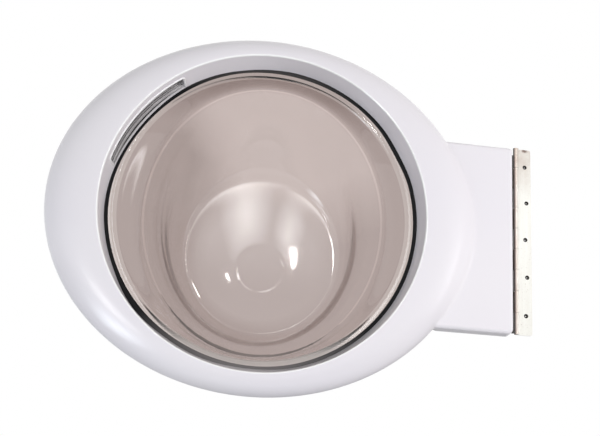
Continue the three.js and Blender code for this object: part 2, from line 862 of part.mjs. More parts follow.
// Torsion spring: a leg beside the hook, the coil round the pin, a leg on the pocket's floor
function latchSpring() {
  const low = hookThickness / 2 + gap + springWireRadius;
  const hookSide = hookShankHalfWidth + springWireRadius + springPlay;
  const floor = housingFrontDepth + pocketFloor + gap + springWireRadius - latchPinDepth;
  const points = [
    [hookSide, springLegLength, -hookThickness / 4],
    [hookSide, springLegLength, hookThickness / 4],
    [hookSide, springLegLength, low - springWireRadius],
    [springCoilRadius, springLegLength / 2, low],
  ];
  for (let step = 0; step <= springTurns * springStepsPerTurn; step += 1) {
    const turn = step / springStepsPerTurn;
    const [x, behind] = polar(springCoilRadius, -360 * turn);
    points.push([x, behind, low + springPitch * turn]);
  }
  const high = low + springPitch * springTurns;
  points.push([springCoilRadius, floor / 2, high]);
  points.push([springCoilRadius + springWireRadius, floor, high]);
  points.push([pocketHalfWidth - springWireRadius - gap, floor, high]);
  const path = new THREE.CatmullRomCurve3(points.map(([x, behind, z]) => (
    new THREE.Vector3(latchX + x, latchPinDepth + behind, z)
  )));
  const section = new THREE.Shape();
  section.setFromPoints(polygon(springWireRadius, springSides));
  return solidOf(new THREE.ExtrudeGeometry(section, {
    steps: points.length + springStepsPerTurn,
    bevelEnabled: false,
    extrudePath: path,
  }));
}

function latchScrewHeight(side) {
  return side * (housingHalfHeight + housingEarLength / 2);
}

// Rubber stop: a low dome on the cover, its stem and barb through the cover
function bumper(degrees) {
  const { radius } = coverScrewPlace(degrees);
  const [x, z] = polar(radius, degrees);
  const foot = backDepth + gap;
  const barb = coverFrontDepth - gap;
  const points = [
    [0, foot + bumperHeight],
    [bumperRadius * bumperCrown, foot + bumperHeight],
    [bumperRadius, foot + bumperHeight / 2],
    [bumperRadius, foot],
    [bumperStemRadius, foot],
    [bumperStemRadius, barb],
    [bumperBarbRadius, barb],
    [bumperStemRadius, barb - bumperBarbHeight],
    [0, barb - bumperBarbHeight],
  ].map(([across, depth]) => new THREE.Vector2(across, depth));
  const geometry = new THREE.LatheGeometry(points, bumperSides);
  geometry.translate(x, 0, z);
  return solidOf(geometry);
}

// Strip hinge, with its pin as the Z axis and the leaves' backs at the barrel's rearmost line

// Section of one leaf at a knuckle: the strip rolled round the pin
function rolledSection(width) {
  const end = radians(curlEndAngle);
  const shape = new THREE.Shape();
  shape.moveTo(width, barrelRadius);
  shape.lineTo(0, barrelRadius);
  shape.absarc(0, 0, barrelRadius, Math.PI / 2, end, false);
  shape.absarc(0, 0, boreRadius, end, Math.PI / 2, true);
  shape.lineTo(width, boreRadius);
  return shape;
}

// A leaf that points to +X: its strip, and the knuckles with even or odd numbers
function leafBody(sides, rounds, parity) {
  const strip = loft([
    plateRing(sides, rounds, boreRadius),
    plateRing(sides, rounds, barrelRadius),
  ], false);
  const length = (2 * hingeHalfHeight) / knuckleCount;
  const knuckles = [];
  for (let i = parity; i < knuckleCount; i += 2) {
    const from = -hingeHalfHeight + i * length;
    knuckles.push(upright(
      rolledSection(sides.left + overrun),
      from + knuckleGap / 2,
      from + length - knuckleGap / 2,
      curveSteps,
    ));
  }
  return strip.add(union(knuckles));
}

const stripStart = barrelRadius + 2 * gap;

function cabinetLeaf() {
  const sides = {
    left: stripStart,
    right: cabinetLeafWidth,
    bottom: -hingeHalfHeight,
    top: hingeHalfHeight,
  };
  const rounds = [cabinetLeafCorner, 0, 0, cabinetLeafCorner];
  const holes = leafHoleHeights().map((height, i) => {
    const x = leafHoleInset + leafHoleStagger * (i % 2 ? 1 : -1);
    const drill = bar(x, height, 0, barrelRadius + overrun, leafHoleRadius, leafHoleSides);
    const sink = bar(x, height, boreRadius - gap, boreRadius + leafThickness / 2,
      leafHoleSinkRadius, leafHoleSides, leafHoleRadius);
    return drill.add(sink);
  });
  return leafBody(sides, rounds, 0).subtract(union(holes));
}

function doorLeaf() {
  const sides = {
    left: stripStart,
    right: doorLeafWidth,
    bottom: doorLeafBottomInset - hingeHalfHeight,
    top: hingeHalfHeight - doorLeafTopInset,
  };
  const rounds = [cabinetLeafCorner, 0, 0, cabinetLeafCorner];
  const holes = leafHoleHeights().map((height) => (
    sunkHole(hingeScrewFromPin, height, barrelRadius, hingeShankRadius, hingeHeadRadius,
      hingeHeadHeight)
  ));
  return leafBody(sides, rounds, 1).subtract(union(holes)).mirror([1, 0, 0]);
}

function hingePin() {
  const geometry = new THREE.CylinderGeometry(pinRadius, pinRadius, 2 * hingeHalfHeight, pinSides);
  geometry.rotateX(Math.PI / 2);
  return solidOf(geometry);
}

function hingePlate() {
  const half = hingePlateWidth / 2;
  const sides = {
    left: hingeScrewX - half,
    right: Math.min(hingeScrewX + half, armEnd - shellWall - armEdgeRound),
    bottom: -hingePlateHalfHeight,
    top: hingePlateHalfHeight,
  };
  const rounds = [cabinetLeafCorner, cabinetLeafCorner, cabinetLeafCorner, cabinetLeafCorner];
  const plate = loft([
    plateRing(sides, rounds, hingePlateFront),
    plateRing(sides, rounds, hingePlateBack),
  ], false);
  return plate.subtract(union(leafHoleHeights().map((height) => (
    bar(hingeScrewX, height, hingePlateFront - overrun, hingePlateBack + overrun,
      hingeShankRadius + gap, screwSides)
  ))));
}

// Assembly

const hinge = new THREE.Group();
hinge.position.set(-originToPin, -barrelRadius, 0);
hinge.add(piece('cabinet_leaf', cabinetLeaf(), 'leaf'));
hinge.add(piece('door_leaf', doorLeaf(), 'leaf'));
hinge.add(piece('hinge_pin', hingePin(), 'steel'));

const door = new THREE.Group();
door.position.set(-originToPin - axisToPin, -cabinetDepth, 0);
door.add(piece('front_shell', frontShell(), 'shell'));
door.add(piece('glass_gasket', glassGasket(), 'gasket'));
door.add(piece('glass_bowl', glassBowl(), 'glass'));
door.add(piece('rear_cover', rearCover(), 'cover'));
door.add(piece('grip_cup', gripCup(), 'grip'));
door.add(piece('hinge_plate', hingePlate(), 'steel'));
door.add(piece('latch_housing', latchHousing(), 'latch'));
door.add(piece('latch_hook', latchHook(), 'steel'));
door.add(piece('latch_pin', latchPin(), 'steel'));
door.add(piece('latch_spring', latchSpring(), 'steel'));

coverScrewAngles.forEach((degrees, i) => {
  const { radius } = coverScrewPlace(degrees);
  const [x, z] = polar(radius, degrees);
  const sizes = [screwShankRadius, screwHeadRadius, screwHeadHeight, coverScrewLength];
  door.add(piece(`cover_screw_${i + 1}`, screw(x, z, backDepth, ...sizes), 'steel'));
});
leafHoleHeights().forEach((height, i) => {
  const sizes = [hingeShankRadius, hingeHeadRadius, hingeHeadHeight, hingeScrewLength];
  door.add(piece(`hinge_screw_${i + 1}`,
    screw(hingeScrewX, height, cabinetDepth, ...sizes), 'steel'));
});
[-1, 1].forEach((side, i) => {
  const sizes = [screwShankRadius, screwHeadRadius, screwHeadHeight, latchScrewLength];
  door.add(piece(`latch_screw_${i + 1}`,
    screw(latchX, latchScrewHeight(side), backDepth, ...sizes), 'steel'));
});
gripScrewAngles.forEach((degrees, i) => {
  door.add(piece(`grip_screw_${i + 1}`, gripScrew(degrees), 'steel'));
});
['upper_bumper', 'lower_bumper'].forEach((name, i) => {
  door.add(piece(name, bumper(bumperAngles[i]), 'rubber'));
});

const porthole = new THREE.Group();
porthole.name = 'porthole_door';
porthole.add(hinge, door);

export default porthole;
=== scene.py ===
# Porthole door of a front loading machine, dressed for its portrait. Every form is worked out in
# the door's own sizes, in millimetres: x towards the hinge, y as depth from the surround's crest
# into the cabinet, z up.
import math
import time

import bmesh
import bpy
from mathutils import Matrix, Vector


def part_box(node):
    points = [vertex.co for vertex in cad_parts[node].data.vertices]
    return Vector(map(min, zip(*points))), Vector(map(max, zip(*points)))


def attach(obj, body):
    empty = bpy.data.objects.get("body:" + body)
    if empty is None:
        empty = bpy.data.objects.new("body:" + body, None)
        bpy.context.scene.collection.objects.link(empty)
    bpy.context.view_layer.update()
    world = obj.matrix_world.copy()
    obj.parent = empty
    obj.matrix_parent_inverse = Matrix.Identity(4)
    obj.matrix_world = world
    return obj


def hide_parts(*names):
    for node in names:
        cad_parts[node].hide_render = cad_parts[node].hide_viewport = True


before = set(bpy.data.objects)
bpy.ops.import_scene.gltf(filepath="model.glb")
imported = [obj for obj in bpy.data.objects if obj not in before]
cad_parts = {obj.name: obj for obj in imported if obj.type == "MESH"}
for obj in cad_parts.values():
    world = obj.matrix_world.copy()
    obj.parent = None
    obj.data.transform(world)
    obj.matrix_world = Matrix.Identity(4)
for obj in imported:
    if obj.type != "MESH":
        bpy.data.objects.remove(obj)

startTime = time.time()
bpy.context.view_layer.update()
mm = 0.001
scene = bpy.context.scene


def report(stage):
    print(f"{time.time() - startTime:6.1f} s  {stage}")


def spanOf(node):        # low and high corner of a solid, in millimetres
    low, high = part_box(node)
    return low / mm, high / mm


gasketLow, gasketHigh = spanOf("glass_gasket")
shellLow = spanOf("front_shell")[0]
pinLow, pinHigh = spanOf("hinge_pin")
doorOrigin = Vector(((gasketLow.x + gasketHigh.x) / 2, shellLow.y, 0))
pinOrigin = Vector(((pinLow.x + pinHigh.x) / 2, (pinLow.y + pinHigh.y) / 2, 0))


# Mesh helpers

meshForm = {
    "weld": 0.001,
    "leastRound": 0.02,
    "mostRound": 0.49,
}


def polar(radius, degrees):
    angle = math.radians(degrees)
    return radius * math.cos(angle), radius * math.sin(angle)


def mix(a, b, share):
    return a + (b - a) * share


def smoothStep(low, high, value):
    share = min(max((value - low) / (high - low), 0), 1)
    return share * share * (3 - 2 * share)


def meshObject(name, points, faces, origin=doorOrigin):        # points in millimetres
    mesh = bpy.data.meshes.new(name)
    mesh.from_pydata([(Vector(p) + origin) * mm for p in points], [], faces)
    mesh.validate()
    mesh.shade_smooth()
    piece = bpy.data.objects.new(name, mesh)
    scene.collection.objects.link(piece)
    return piece


def ringFaces(ringCount, count, loop, capped):
    faces = []
    bands = ringCount if loop else ringCount - 1
    for band in range(bands):
        low = band * count
        high = ((band + 1) % ringCount) * count
        for i in range(count):
            j = (i + 1) % count
            faces.append((low + i, low + j, high + j, high + i))
    if capped:
        faces.append(tuple(reversed(range(count))))
        faces.append(tuple(range((ringCount - 1) * count, ringCount * count)))
    return faces


def faceOut(piece):
    work = bmesh.new()
    work.from_mesh(piece.data)
    bmesh.ops.remove_doubles(work, verts=work.verts, dist=meshForm["weld"] * mm)
    bmesh.ops.recalc_face_normals(work, faces=work.faces)
    if work.calc_volume(signed=True) < 0:
        bmesh.ops.reverse_faces(work, faces=work.faces)
    work.to_mesh(piece.data)
    work.free()
    return piece


def lofted(name, rings, loop=False, capped=False, origin=doorOrigin):
    points = [point for ring in rings for point in ring]
    faces = ringFaces(len(rings), len(rings[0]), loop, capped)
    return faceOut(meshObject(name, points, faces, origin))


def loftedRound(name, angles, sections):        # one closed section of (radius, depth) per angle
    rings = []
    for spots in zip(*sections):
        ring = []
        for degrees, (radius, depth) in zip(angles, spots):
            x, z = polar(radius, degrees)
            ring.append((x, depth, z))
        rings.append(ring)
    return lofted(name, rings, loop=True)


def turned(name, section, sides=192, x=0.0, z=0.0, origin=doorOrigin):
    # a closed section of (radius, depth) turned about an axis along y
    circle = [polar(1, 360 * i / sides) for i in range(sides)]
    rings = [[(x + r * c, depth, z + r * s) for c, s in circle] for r, depth in section]
    return lofted(name, rings, loop=True, origin=origin)


def swept(name, section, fromAngle, toAngle, steps):
    # the same kind of section swept round the bowl's axis between two angles
    rings = []
    for step in range(steps + 1):
        c, s = polar(1, mix(fromAngle, toAngle, step / steps))
        rings.append([(r * c, depth, r * s) for r, depth in section])
    return lofted(name, rings, capped=True)


def rounded(section, radii, steps=5):        # each corner rounded off by its own radius
    points = []
    for i, corner in enumerate(section):
        here = Vector(corner)
        before = Vector(section[i - 1]) - here
        after = Vector(section[(i + 1) % len(section)]) - here
        half = before.angle(after) / 2
        most = min(before.length, after.length) * meshForm["mostRound"]
        reach = min(radii[i] / math.tan(half), most)
        if reach < meshForm["leastRound"]:
            points.append(tuple(here))
            continue
        start = here + before.normalized() * reach
        end = here + after.normalized() * reach
        for step in range(steps + 1):
            share = step / steps
            points.append(tuple(start.lerp(here, share).lerp(here.lerp(end, share), share)))
    return points


def applied(piece):        # modifiers made real
    graph = bpy.context.evaluated_depsgraph_get()
    mesh = bpy.data.meshes.new_from_object(piece.evaluated_get(graph), depsgraph=graph)
    piece.modifiers.clear()
    old = piece.data
    piece.data = mesh
    bpy.data.meshes.remove(old)
    mesh.name = piece.name
    return piece


def inked(piece, slots, index=0):        # every face in one of several finishes
    for slot in slots:
        piece.data.materials.append(slot)
    piece.data.polygons.foreach_set("material_index", [index] * len(piece.data.polygons))
    return piece


def combined(piece, others, operation):
    for other in others:
        step = piece.modifiers.new("combine", "BOOLEAN")
        step.operation = operation
        step.solver = "EXACT"
        step.object = other
    applied(piece)
    for other in others:
        bpy.data.meshes.remove(other.data)
    return piece


def joined(piece, others):        # other skins added to the piece's mesh as they are
    work = bmesh.new()
    work.from_mesh(piece.data)
    for other in others:
        work.from_mesh(other.data)
        bpy.data.meshes.remove(other.data)
    work.to_mesh(piece.data)
    work.free()
    return piece


def bevelled(piece, width, segments=2, angle=35):
    edge = piece.modifiers.new("edge", "BEVEL")
    edge.width = width * mm
    edge.segments = segments
    edge.angle_limit = math.radians(angle)
    return applied(piece)


def crisp(piece, degrees=35, level=False):        # smooth faces, sharp only where the form turns
    piece.data.shade_smooth()
    piece.data.set_sharp_from_angle(angle=math.radians(degrees))
    if level:        # wide flats stay flat beside their rounded edges
        step = piece.modifiers.new("level", "WEIGHTED_NORMAL")
        step.keep_sharp = True
        applied(piece)
    return piece


# Camera, where the photograph was taken from

cameraForm = {
    "fromBowl": (-46.8, -768.8, -234.0),
    "yaw": 6.01,
    "pitch": 16.2,
    "roll": 3.96,
    "lens": 49.5,
    "sensor": 36.0,
    "near": 0.05,
    "far": 40,
}


def makeCamera():
    form = cameraForm
    data = bpy.data.cameras.new("portrait camera")
    data.lens, data.sensor_width = form["lens"], form["sensor"]
    data.clip_start, data.clip_end = form["near"], form["far"]
    camera = bpy.data.objects.new("portrait camera", data)
    scene.collection.objects.link(camera)
    turn = Matrix.Rotation(math.radians(-form["yaw"]), 4, "Z")
    tilt = Matrix.Rotation(math.radians(90 + form["pitch"]), 4, "X")
    roll = Matrix.Rotation(math.radians(form["roll"]), 4, "Z")
    place = Matrix.Translation((Vector(form["fromBowl"]) + doorOrigin) * mm)
    camera.matrix_world = place @ turn @ tilt @ roll
    scene.camera = camera


makeCamera()
report("camera")


# Materials

class Finish:        # a node material: its shader, and short ways to add procedural detail

    def __init__(self, name, colour, roughness, metallic=0.0):
        self.material = bpy.data.materials.new(name)
        self.material.use_nodes = True
        self.nodes = self.material.node_tree.nodes
        self.links = self.material.node_tree.links
        self.shader = self.nodes["Principled BSDF"]
        self.give({"Base Color": (*colour, 1), "Roughness": roughness, "Metallic": metallic})

    def add(self, kind, **values):
        node = self.nodes.new(kind)
        for key, value in values.items():
            setattr(node, key, value)
        return node

    def give(self, values):
        for socket, value in values.items():
            self.shader.inputs[socket].default_value = value

    def place(self, centre=(0, 0, 0), scale=(1, 1, 1)):
        coordinates = self.add("ShaderNodeTexCoord")
        mapping = self.add("ShaderNodeMapping")
        mapping.inputs["Location"].default_value = [-c * s for c, s in zip(centre, scale)]
        mapping.inputs["Scale"].default_value = scale
        self.links.new(coordinates.outputs["Object"], mapping.inputs["Vector"])
        return mapping.outputs["Vector"]

    def axes(self, centre=(0, 0, 0)):        # the way from a centre, one output per axis
        split = self.add("ShaderNodeSeparateXYZ")
        self.links.new(self.place(centre), split.inputs["Vector"])
        return [split.outputs[axis] for axis in "XYZ"]

    def noise(self, scale, detail, stretch=(1, 1, 1)):
        node = self.add("ShaderNodeTexNoise")
        node.inputs["Scale"].default_value = scale
        node.inputs["Detail"].default_value = detail
        self.links.new(self.place(scale=stretch), node.inputs["Vector"])
        return node.outputs["Fac"]

    def ramp(self, source, low, high, lowShare=0.0, highShare=1.0):
        node = self.add("ShaderNodeMapRange")
        node.inputs["From Min"].default_value = lowShare
        node.inputs["From Max"].default_value = highShare
        node.inputs["To Min"].default_value = low
        node.inputs["To Max"].default_value = high
        self.links.new(source, node.inputs["Value"])
        return node.outputs["Result"]

    def mask(self, source, start, end):        # none at the first place, all at the second
        shares = (0, 1) if start < end else (1, 0)
        return self.ramp(source, *shares, min(start, end), max(start, end))

    def times(self, first, second):
        node = self.add("ShaderNodeMath", operation="MULTIPLY")
        self.links.new(first, node.inputs[0])
        self.links.new(second, node.inputs[1])
        return node.outputs["Value"]

    def blend(self, factor, first, second):
        node = self.add("ShaderNodeMix", data_type="RGBA")
        self.links.new(factor, node.inputs["Factor"])
        for socket, value in ((node.inputs["A"], first), (node.inputs["B"], second)):
            if isinstance(value, tuple):
                socket.default_value = (*value, 1)
            else:
                self.links.new(value, socket)
        return node.outputs["Result"]

    def bump(self, height, strength, distance):
        node = self.add("ShaderNodeBump")
        node.inputs["Strength"].default_value = strength
        node.inputs["Distance"].default_value = distance * mm
        self.links.new(height, node.inputs["Height"])
        self.links.new(node.outputs["Normal"], self.shader.inputs["Normal"])

    def use(self, output, socket):
        self.links.new(output, self.shader.inputs[socket])


# Each moulding or rubber: its colour and gloss, then the noise (scale, detail) behind its slow
# change of tone, its uneven gloss and its fine grain, with what they range between

mouldings = {
    "white moulding": {
        "colour": (0.80, 0.77, 0.81),
        "roughness": 0.3,
        "sockets": {"Coat Weight": 0.5, "Coat Roughness": 0.12},
        "tone": ((6, 2), (0.35, 0.65), (0.79, 0.76, 0.80), (0.81, 0.78, 0.81)),
        "gloss": ((25, 3), 0.26, 0.34),
        "grain": ((900, 1), 0.04, 0.05),
    },
    # lighter than the white moulding: the extra lightness is a painted highlight on the crest and the
    # notch's bead
    "polished moulding with painted highlight": {
        "colour": (0.93, 0.92, 0.92),
        "roughness": 0.18,
        "sockets": {"Coat Weight": 1.0},
        "gloss": ((60, 3), 0.14, 0.22),
    },
    "grained moulding": {
        "colour": (0.62, 0.62, 0.64),
        "roughness": 0.5,
        "tone": ((9, 2), (0.35, 0.65), (0.60, 0.60, 0.62), (0.64, 0.64, 0.655)),
        "gloss": ((60, 3), 0.44, 0.58),
        "grain": ((2200, 2), 0.25, 0.08),
    },
    "grey grip moulding": {
        "colour": (0.55, 0.53, 0.535),
        "roughness": 0.38,
        "tone": ((90, 4), (0.3, 0.7), (0.50, 0.48, 0.485), (0.60, 0.58, 0.585)),
        "grain": ((1200, 2), 0.2, 0.05),
    },
    "stop rubber": {
        "colour": (0.03, 0.03, 0.033),
        "roughness": 0.55,
        "sockets": {"Specular IOR Level": 0.15},
        "gloss": ((70, 3), 0.47, 0.63),
        "grain": ((1500, 2), 0.15, 0.04),
    },
    "dark latch moulding": {
        "colour": (0.035, 0.035, 0.038),
        "roughness": 0.45,
        "sockets": {"Specular IOR Level": 0.15},
        "gloss": ((70, 3), 0.37, 0.53),
        "grain": ((1500, 2), 0.15, 0.04),
    },
    "gasket rubber": {
        "colour": (0.003, 0.003, 0.004),
        "roughness": 0.42,
        "sockets": {"Specular IOR Level": 0.15},
        "gloss": ((70, 3), 0.34, 0.5),
        "grain": ((1500, 2), 0.15, 0.04),
    },
}


def mouldedLook(name):
    form = mouldings[name]
    look = Finish(name, form["colour"], form["roughness"])
    look.give(form.get("sockets", {}))
    if "tone" in form:
        noise, span, dark, pale = form["tone"]
        look.use(look.blend(look.ramp(look.noise(*noise), 0, 1, *span), dark, pale), "Base Color")
    if "gloss" in form:
        noise, glossy, dull = form["gloss"]
        look.use(look.ramp(look.noise(*noise), glossy, dull), "Roughness")
    if "grain" in form:
        noise, strength, distance = form["grain"]
        look.bump(look.noise(*noise), strength, distance)
    return look


# the gasket's painted highlight along the top and painted reflection along the bottom
rubberSheenForm = {        # heights in metres above the bowl's axis
    "low": (0.17, 0.16, 0.16),
    "lowFrom": -0.110,
    "lowTo": -0.152,
    "high": (0.045, 0.042, 0.042),
    "highFrom": 0.125,
    "highTo": 0.152,
}


def gasketFinish():        # black rubber, painted lighter along the top as a highlight and most of all along the bottom as a reflection of the white surround
    form = rubberSheenForm
    look = mouldedLook("gasket rubber")
    height = look.axes(doorOrigin * mm)[2]
    rubberColour = mouldings["gasket rubber"]["colour"]
    tone = look.blend(look.mask(height, form["highFrom"], form["highTo"]), rubberColour, form["high"])
    sheened = look.blend(look.mask(height, form["lowFrom"], form["lowTo"]), tone, form["low"])
    look.use(sheened, "Base Color")
    return look.material


metalForm = {
    "noise": (140, 4),
    "span": (0.3, 0.7),
    "darker": 0.82,
    "glossier": 0.07,
    "duller": 0.1,
    "grain": (0.12, 0.03),
}


def metalFinish(name, colour, roughness, stretch):        # drawn or plated metal
    form = metalForm
    look = Finish(name, colour, roughness, metallic=1.0)
    streak = look.noise(*form["noise"], stretch)
    darker = tuple(c * form["darker"] for c in colour)
    look.use(look.blend(look.ramp(streak, 0, 1, *form["span"]), darker, colour), "Base Color")
    look.use(look.ramp(streak, roughness - form["glossier"], roughness + form["duller"]), "Roughness")
    look.bump(streak, *form["grain"])
    return look.material


leafLook = {        # places in metres in the part's own frame
    "colour": (0.93, 0.92, 0.86),
    "roughness": 0.36,
    "brushed": ((0.90, 0.885, 0.83), (0.98, 0.975, 0.93)),
    "streak": (220, 5, (1, 1, 0.06)),
    "gloss": (0.28, 0.46),
    "grain": (0.1, 0.02),
    "warm": (0.56, 0.45, 0.39),
    "warmFrom": 0.048,
    "warmTo": 0.085,
    "warmMost": 0.6,
    "cloud": (55, 4),
    "cloudRange": (0.3, 1.25),
    "barrelShadeWidth": 0.0035,
    "barrelShadeCloud": (0.6, 1, 0.3, 1.2),
    "stain": (0.24, 0.17, 0.14),
    "stainCentre": (0.0060, -0.0015, 0.101),
    "stainReach": 0.0055,
    "stainNoise": (420, 5),
    "stainRange": (0.2, 2.6),
    "stainSpan": (0.15, 0.75),
    "speck": (0.36, 0.27, 0.20),
    "speckNoise": (900, 4),
    "speckSpan": (0.62, 0.75),
    "speckMost": 0.6,
    "gapShade": (0.035, 0.025, 0.02),
    "gapShadeFrom": -0.0135,
    "gapShadeTo": -0.0068,
    "gapShadeFade": (0.003, 0.001),
    "gapShadeDull": (0.85, 0.85, 0.85),
    "shadeStainMetallic": 0.15,
}


def leafFinish():        # bright strip steel: brushed, stained at the top, with painted shade in the gap beside the barrel and on the barrel's shaded side
    form = leafLook
    look = Finish("strip steel", form["colour"], form["roughness"], metallic=1.0)
    span = metalForm["span"]
    streak = look.noise(*form["streak"])
    metal = look.blend(look.ramp(streak, 0, 1, *span), *form["brushed"])
    across, _, height = look.axes()
    cloud = look.ramp(look.noise(*form["cloud"]), *form["cloudRange"], *span)
    high = look.ramp(height, 0, form["warmMost"], form["warmFrom"], form["warmTo"])
    warm = look.blend(look.times(high, cloud), metal, form["warm"])
    # painted shade on the barrel's side turned from the light, in the stain's warm colour
    edge = look.mask(across, form["gapShadeTo"] + form["barrelShadeWidth"], form["gapShadeTo"])
    warm = look.blend(look.times(edge, look.ramp(cloud, *form["barrelShadeCloud"])), warm, form["warm"])
    speck = look.ramp(look.noise(*form["speckNoise"]), 0, form["speckMost"], *form["speckSpan"])
    specked = look.blend(speck, warm, form["speck"])
    ball = look.add("ShaderNodeTexGradient", gradient_type="SPHERICAL")
    stretch = 1 / form["stainReach"]
    place = look.place(form["stainCentre"], (stretch, stretch / 2, stretch))
    look.links.new(place, ball.inputs["Vector"])
    spot = look.ramp(look.noise(*form["stainNoise"]), *form["stainRange"], *span)
    patch = look.ramp(look.times(ball.outputs["Fac"], spot), 0, 1, *form["stainSpan"])
    stained = look.blend(patch, specked, form["stain"])
    # painted shade in the dark gap between the arm and the barrel, which also dulls the metal there; the
    # metal is dulled on the real stain too
    outer, inner = form["gapShadeFade"]
    near = look.mask(across, form["gapShadeTo"], form["gapShadeTo"] - inner)
    far = look.mask(across, form["gapShadeFrom"] - outer, form["gapShadeFrom"])
    gapShade = look.times(near, far)
    look.use(look.blend(gapShade, stained, form["gapShade"]), "Base Color")
    shadeAndStain = look.blend(gapShade, patch, form["gapShadeDull"])
    look.use(look.ramp(shadeAndStain, 1, form["shadeStainMetallic"]), "Metallic")
    look.use(look.ramp(streak, *form["gloss"]), "Roughness")
    look.bump(streak, *form["grain"])
    return look.material


glassForm = {
    "ior": 1.5,
    "roughness": 0.05,
    "noseCentre": (0.008, 0, -0.016),
    "cloud": (11, 3),
    "cloudRange": (0.8, 1.2),
    "cloudSpan": (0.3, 0.7),
    "edgeBlend": 0.6,
    "edgeSpan": (0.45, 0.95),
    "edgeHeights": (0.12, 0.02),
    "wave": (14, 2),
    "waveStrength": 0.05,
    "waveHeight": 1.2,
}
glassTones = {
    "body": (0.46, 0.385, 0.365),
    "rim": (0.41, 0.335, 0.315),
    "brow": (0.29, 0.225, 0.21),
    "upper": (0.60, 0.51, 0.485),
    "left": (0.40, 0.33, 0.31),
    "lower": (0.46, 0.385, 0.365),
    "corner": (0.40, 0.325, 0.305),
    "heart": (0.52, 0.445, 0.425),
    "edge": (0.39, 0.315, 0.295),
}
# each tone, and along what it fades in, from none to all: metres from the door's own origin,
# "radius" from the nose's axis
glassZones = (
    ("upper", ("height", 0.0, 0.07), ("depth", 0.036, 0.05)),
    ("left", ("across", -0.02, -0.085), ("height", 0.125, 0.08), ("cloud",)),
    # the lighter heart is a painted reflection
    ("heart", ("radius", 0.085, 0.06), ("height", -0.06, 0.0)),
    ("lower", ("height", -0.03, -0.085), ("depth", 0.09, 0.12), ("cloud",)),
    ("corner", ("radius", 0.073, 0.085), ("depth", 0.105, 0.13), ("height", 0.035, -0.01),
     ("across", 0.09, 0.0)),
    ("rim", ("depth", 0.052, 0.038)),
    ("brow", ("depth", 0.05, 0.036), ("height", 0.09, 0.135)),
)


def glassFinish(name="pressed glass", shade=1.0):        # glass whose tone changes from place to place; its lighter heart is painted reflection
    form = glassForm
    tones = {key: tuple(c * shade for c in tone) for key, tone in glassTones.items()}
    look = Finish(name, glassTones["body"], form["roughness"])
    look.give({"Transmission Weight": 1.0, "IOR": form["ior"]})
    places = dict(zip(("across", "depth", "height"), look.axes(doorOrigin * mm)))
    apart = look.add("ShaderNodeVectorMath", operation="LENGTH")
    centre = Vector(form["noseCentre"]) + Vector((doorOrigin.x * mm, 0, 0))
    look.links.new(look.place(centre, (1, 0, 1)), apart.inputs[0])
    places["radius"] = apart.outputs["Value"]
    cloud = look.ramp(look.noise(*form["cloud"]), *form["cloudRange"], *form["cloudSpan"])
    tone = tones["body"]
    for key, *zones in glassZones:
        share = None
        for place, *span in zones:
            part = look.mask(places[place], *span) if span else cloud
            share = part if share is None else look.times(share, part)
        tone = look.blend(share, tone, tones[key])
    facing = look.add("ShaderNodeLayerWeight")
    facing.inputs["Blend"].default_value = form["edgeBlend"]
    grazing = look.ramp(facing.outputs["Facing"], 0, 1, *form["edgeSpan"])
    grazing = look.times(grazing, look.mask(places["height"], *form["edgeHeights"]))
    look.use(look.blend(grazing, tone, tones["edge"]), "Base Color")
    look.bump(look.noise(*form["wave"]), form["waveStrength"], form["waveHeight"])
    return look.material


rimLook = {
    "colour": (0.60, 0.54, 0.51),
    "roughness": 0.3,
    "from": -0.138,
    "to": -0.112,
    "clearness": (0.2, 1),
    "gloss": (0.4, 0.06),
}


def rimFinish():        # the bowl's flange edge, clear except along the bottom, where it is pale and dull as a painted reflection
    form = rimLook
    look = Finish("glass edge, painted reflection at the bottom", form["colour"], form["roughness"])
    look.give({"IOR": glassForm["ior"]})
    height = look.axes(doorOrigin * mm)[2]
    for span, socket in ((form["clearness"], "Transmission Weight"), (form["gloss"], "Roughness")):
        look.use(look.ramp(height, *span, form["from"], form["to"]), socket)
    return look.material


evenGrain, drawnGrain = (1, 1, 1), (1, 1, 0.1)
shellMoulding = mouldedLook("white moulding").material
polishedHighlightMoulding = mouldedLook("polished moulding with painted highlight").material
coverMoulding = mouldedLook("grained moulding").material
gripMoulding = mouldedLook("grey grip moulding").material
stopRubber = mouldedLook("stop rubber").material
latchMoulding = mouldedLook("dark latch moulding").material
gasketRubber = gasketFinish()
stripSteel = leafFinish()
drawnSteel = metalFinish("drawn steel", (0.56, 0.56, 0.57), 0.34, drawnGrain)
zincSteel = metalFinish("zinc plate", (0.66, 0.66, 0.63), 0.3, evenGrain)
sinteredMetal = metalFinish("sintered metal", (0.42, 0.42, 0.43), 0.48, evenGrain)
# near-black steel for the walls of the leaves' holes: painted shade where the holes look dark
holeShadeSteel = metalFinish("steel, painted hole shade", (0.035, 0.03, 0.028), 0.6, evenGrain)
bowlGlass = glassFinish()
# a lighter copy of the glass: painted highlight along the line where the mouth turns into the bowl
highlightLineGlass = glassFinish("pressed glass, painted highlight line", 1.35)
# a near-black copy of the glass: painted dark line along the bottom, where the black gasket shows through
# the glass
darkLineGlass = glassFinish("pressed glass, painted dark line", 0.07)
rimGlass = rimFinish()
report("materials")


def dress(piece, material, body, slot, *nodes):        # finish, body, slot (not used) and the solids it stands for
    if material:
        inked(piece, []).data.materials.clear()
        piece.data.materials.append(material)
    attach(piece, body)
    if nodes:
        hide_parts(*nodes)
    return piece


def refinish(node, material):        # a solid that stays as it is, with a better finish
    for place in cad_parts[node].material_slots:
        place.material = material


# Geometry Nodes

growthForm = {
    "headSides": 36,
    "shankSides": 24,
    "wireSides": 12,
}


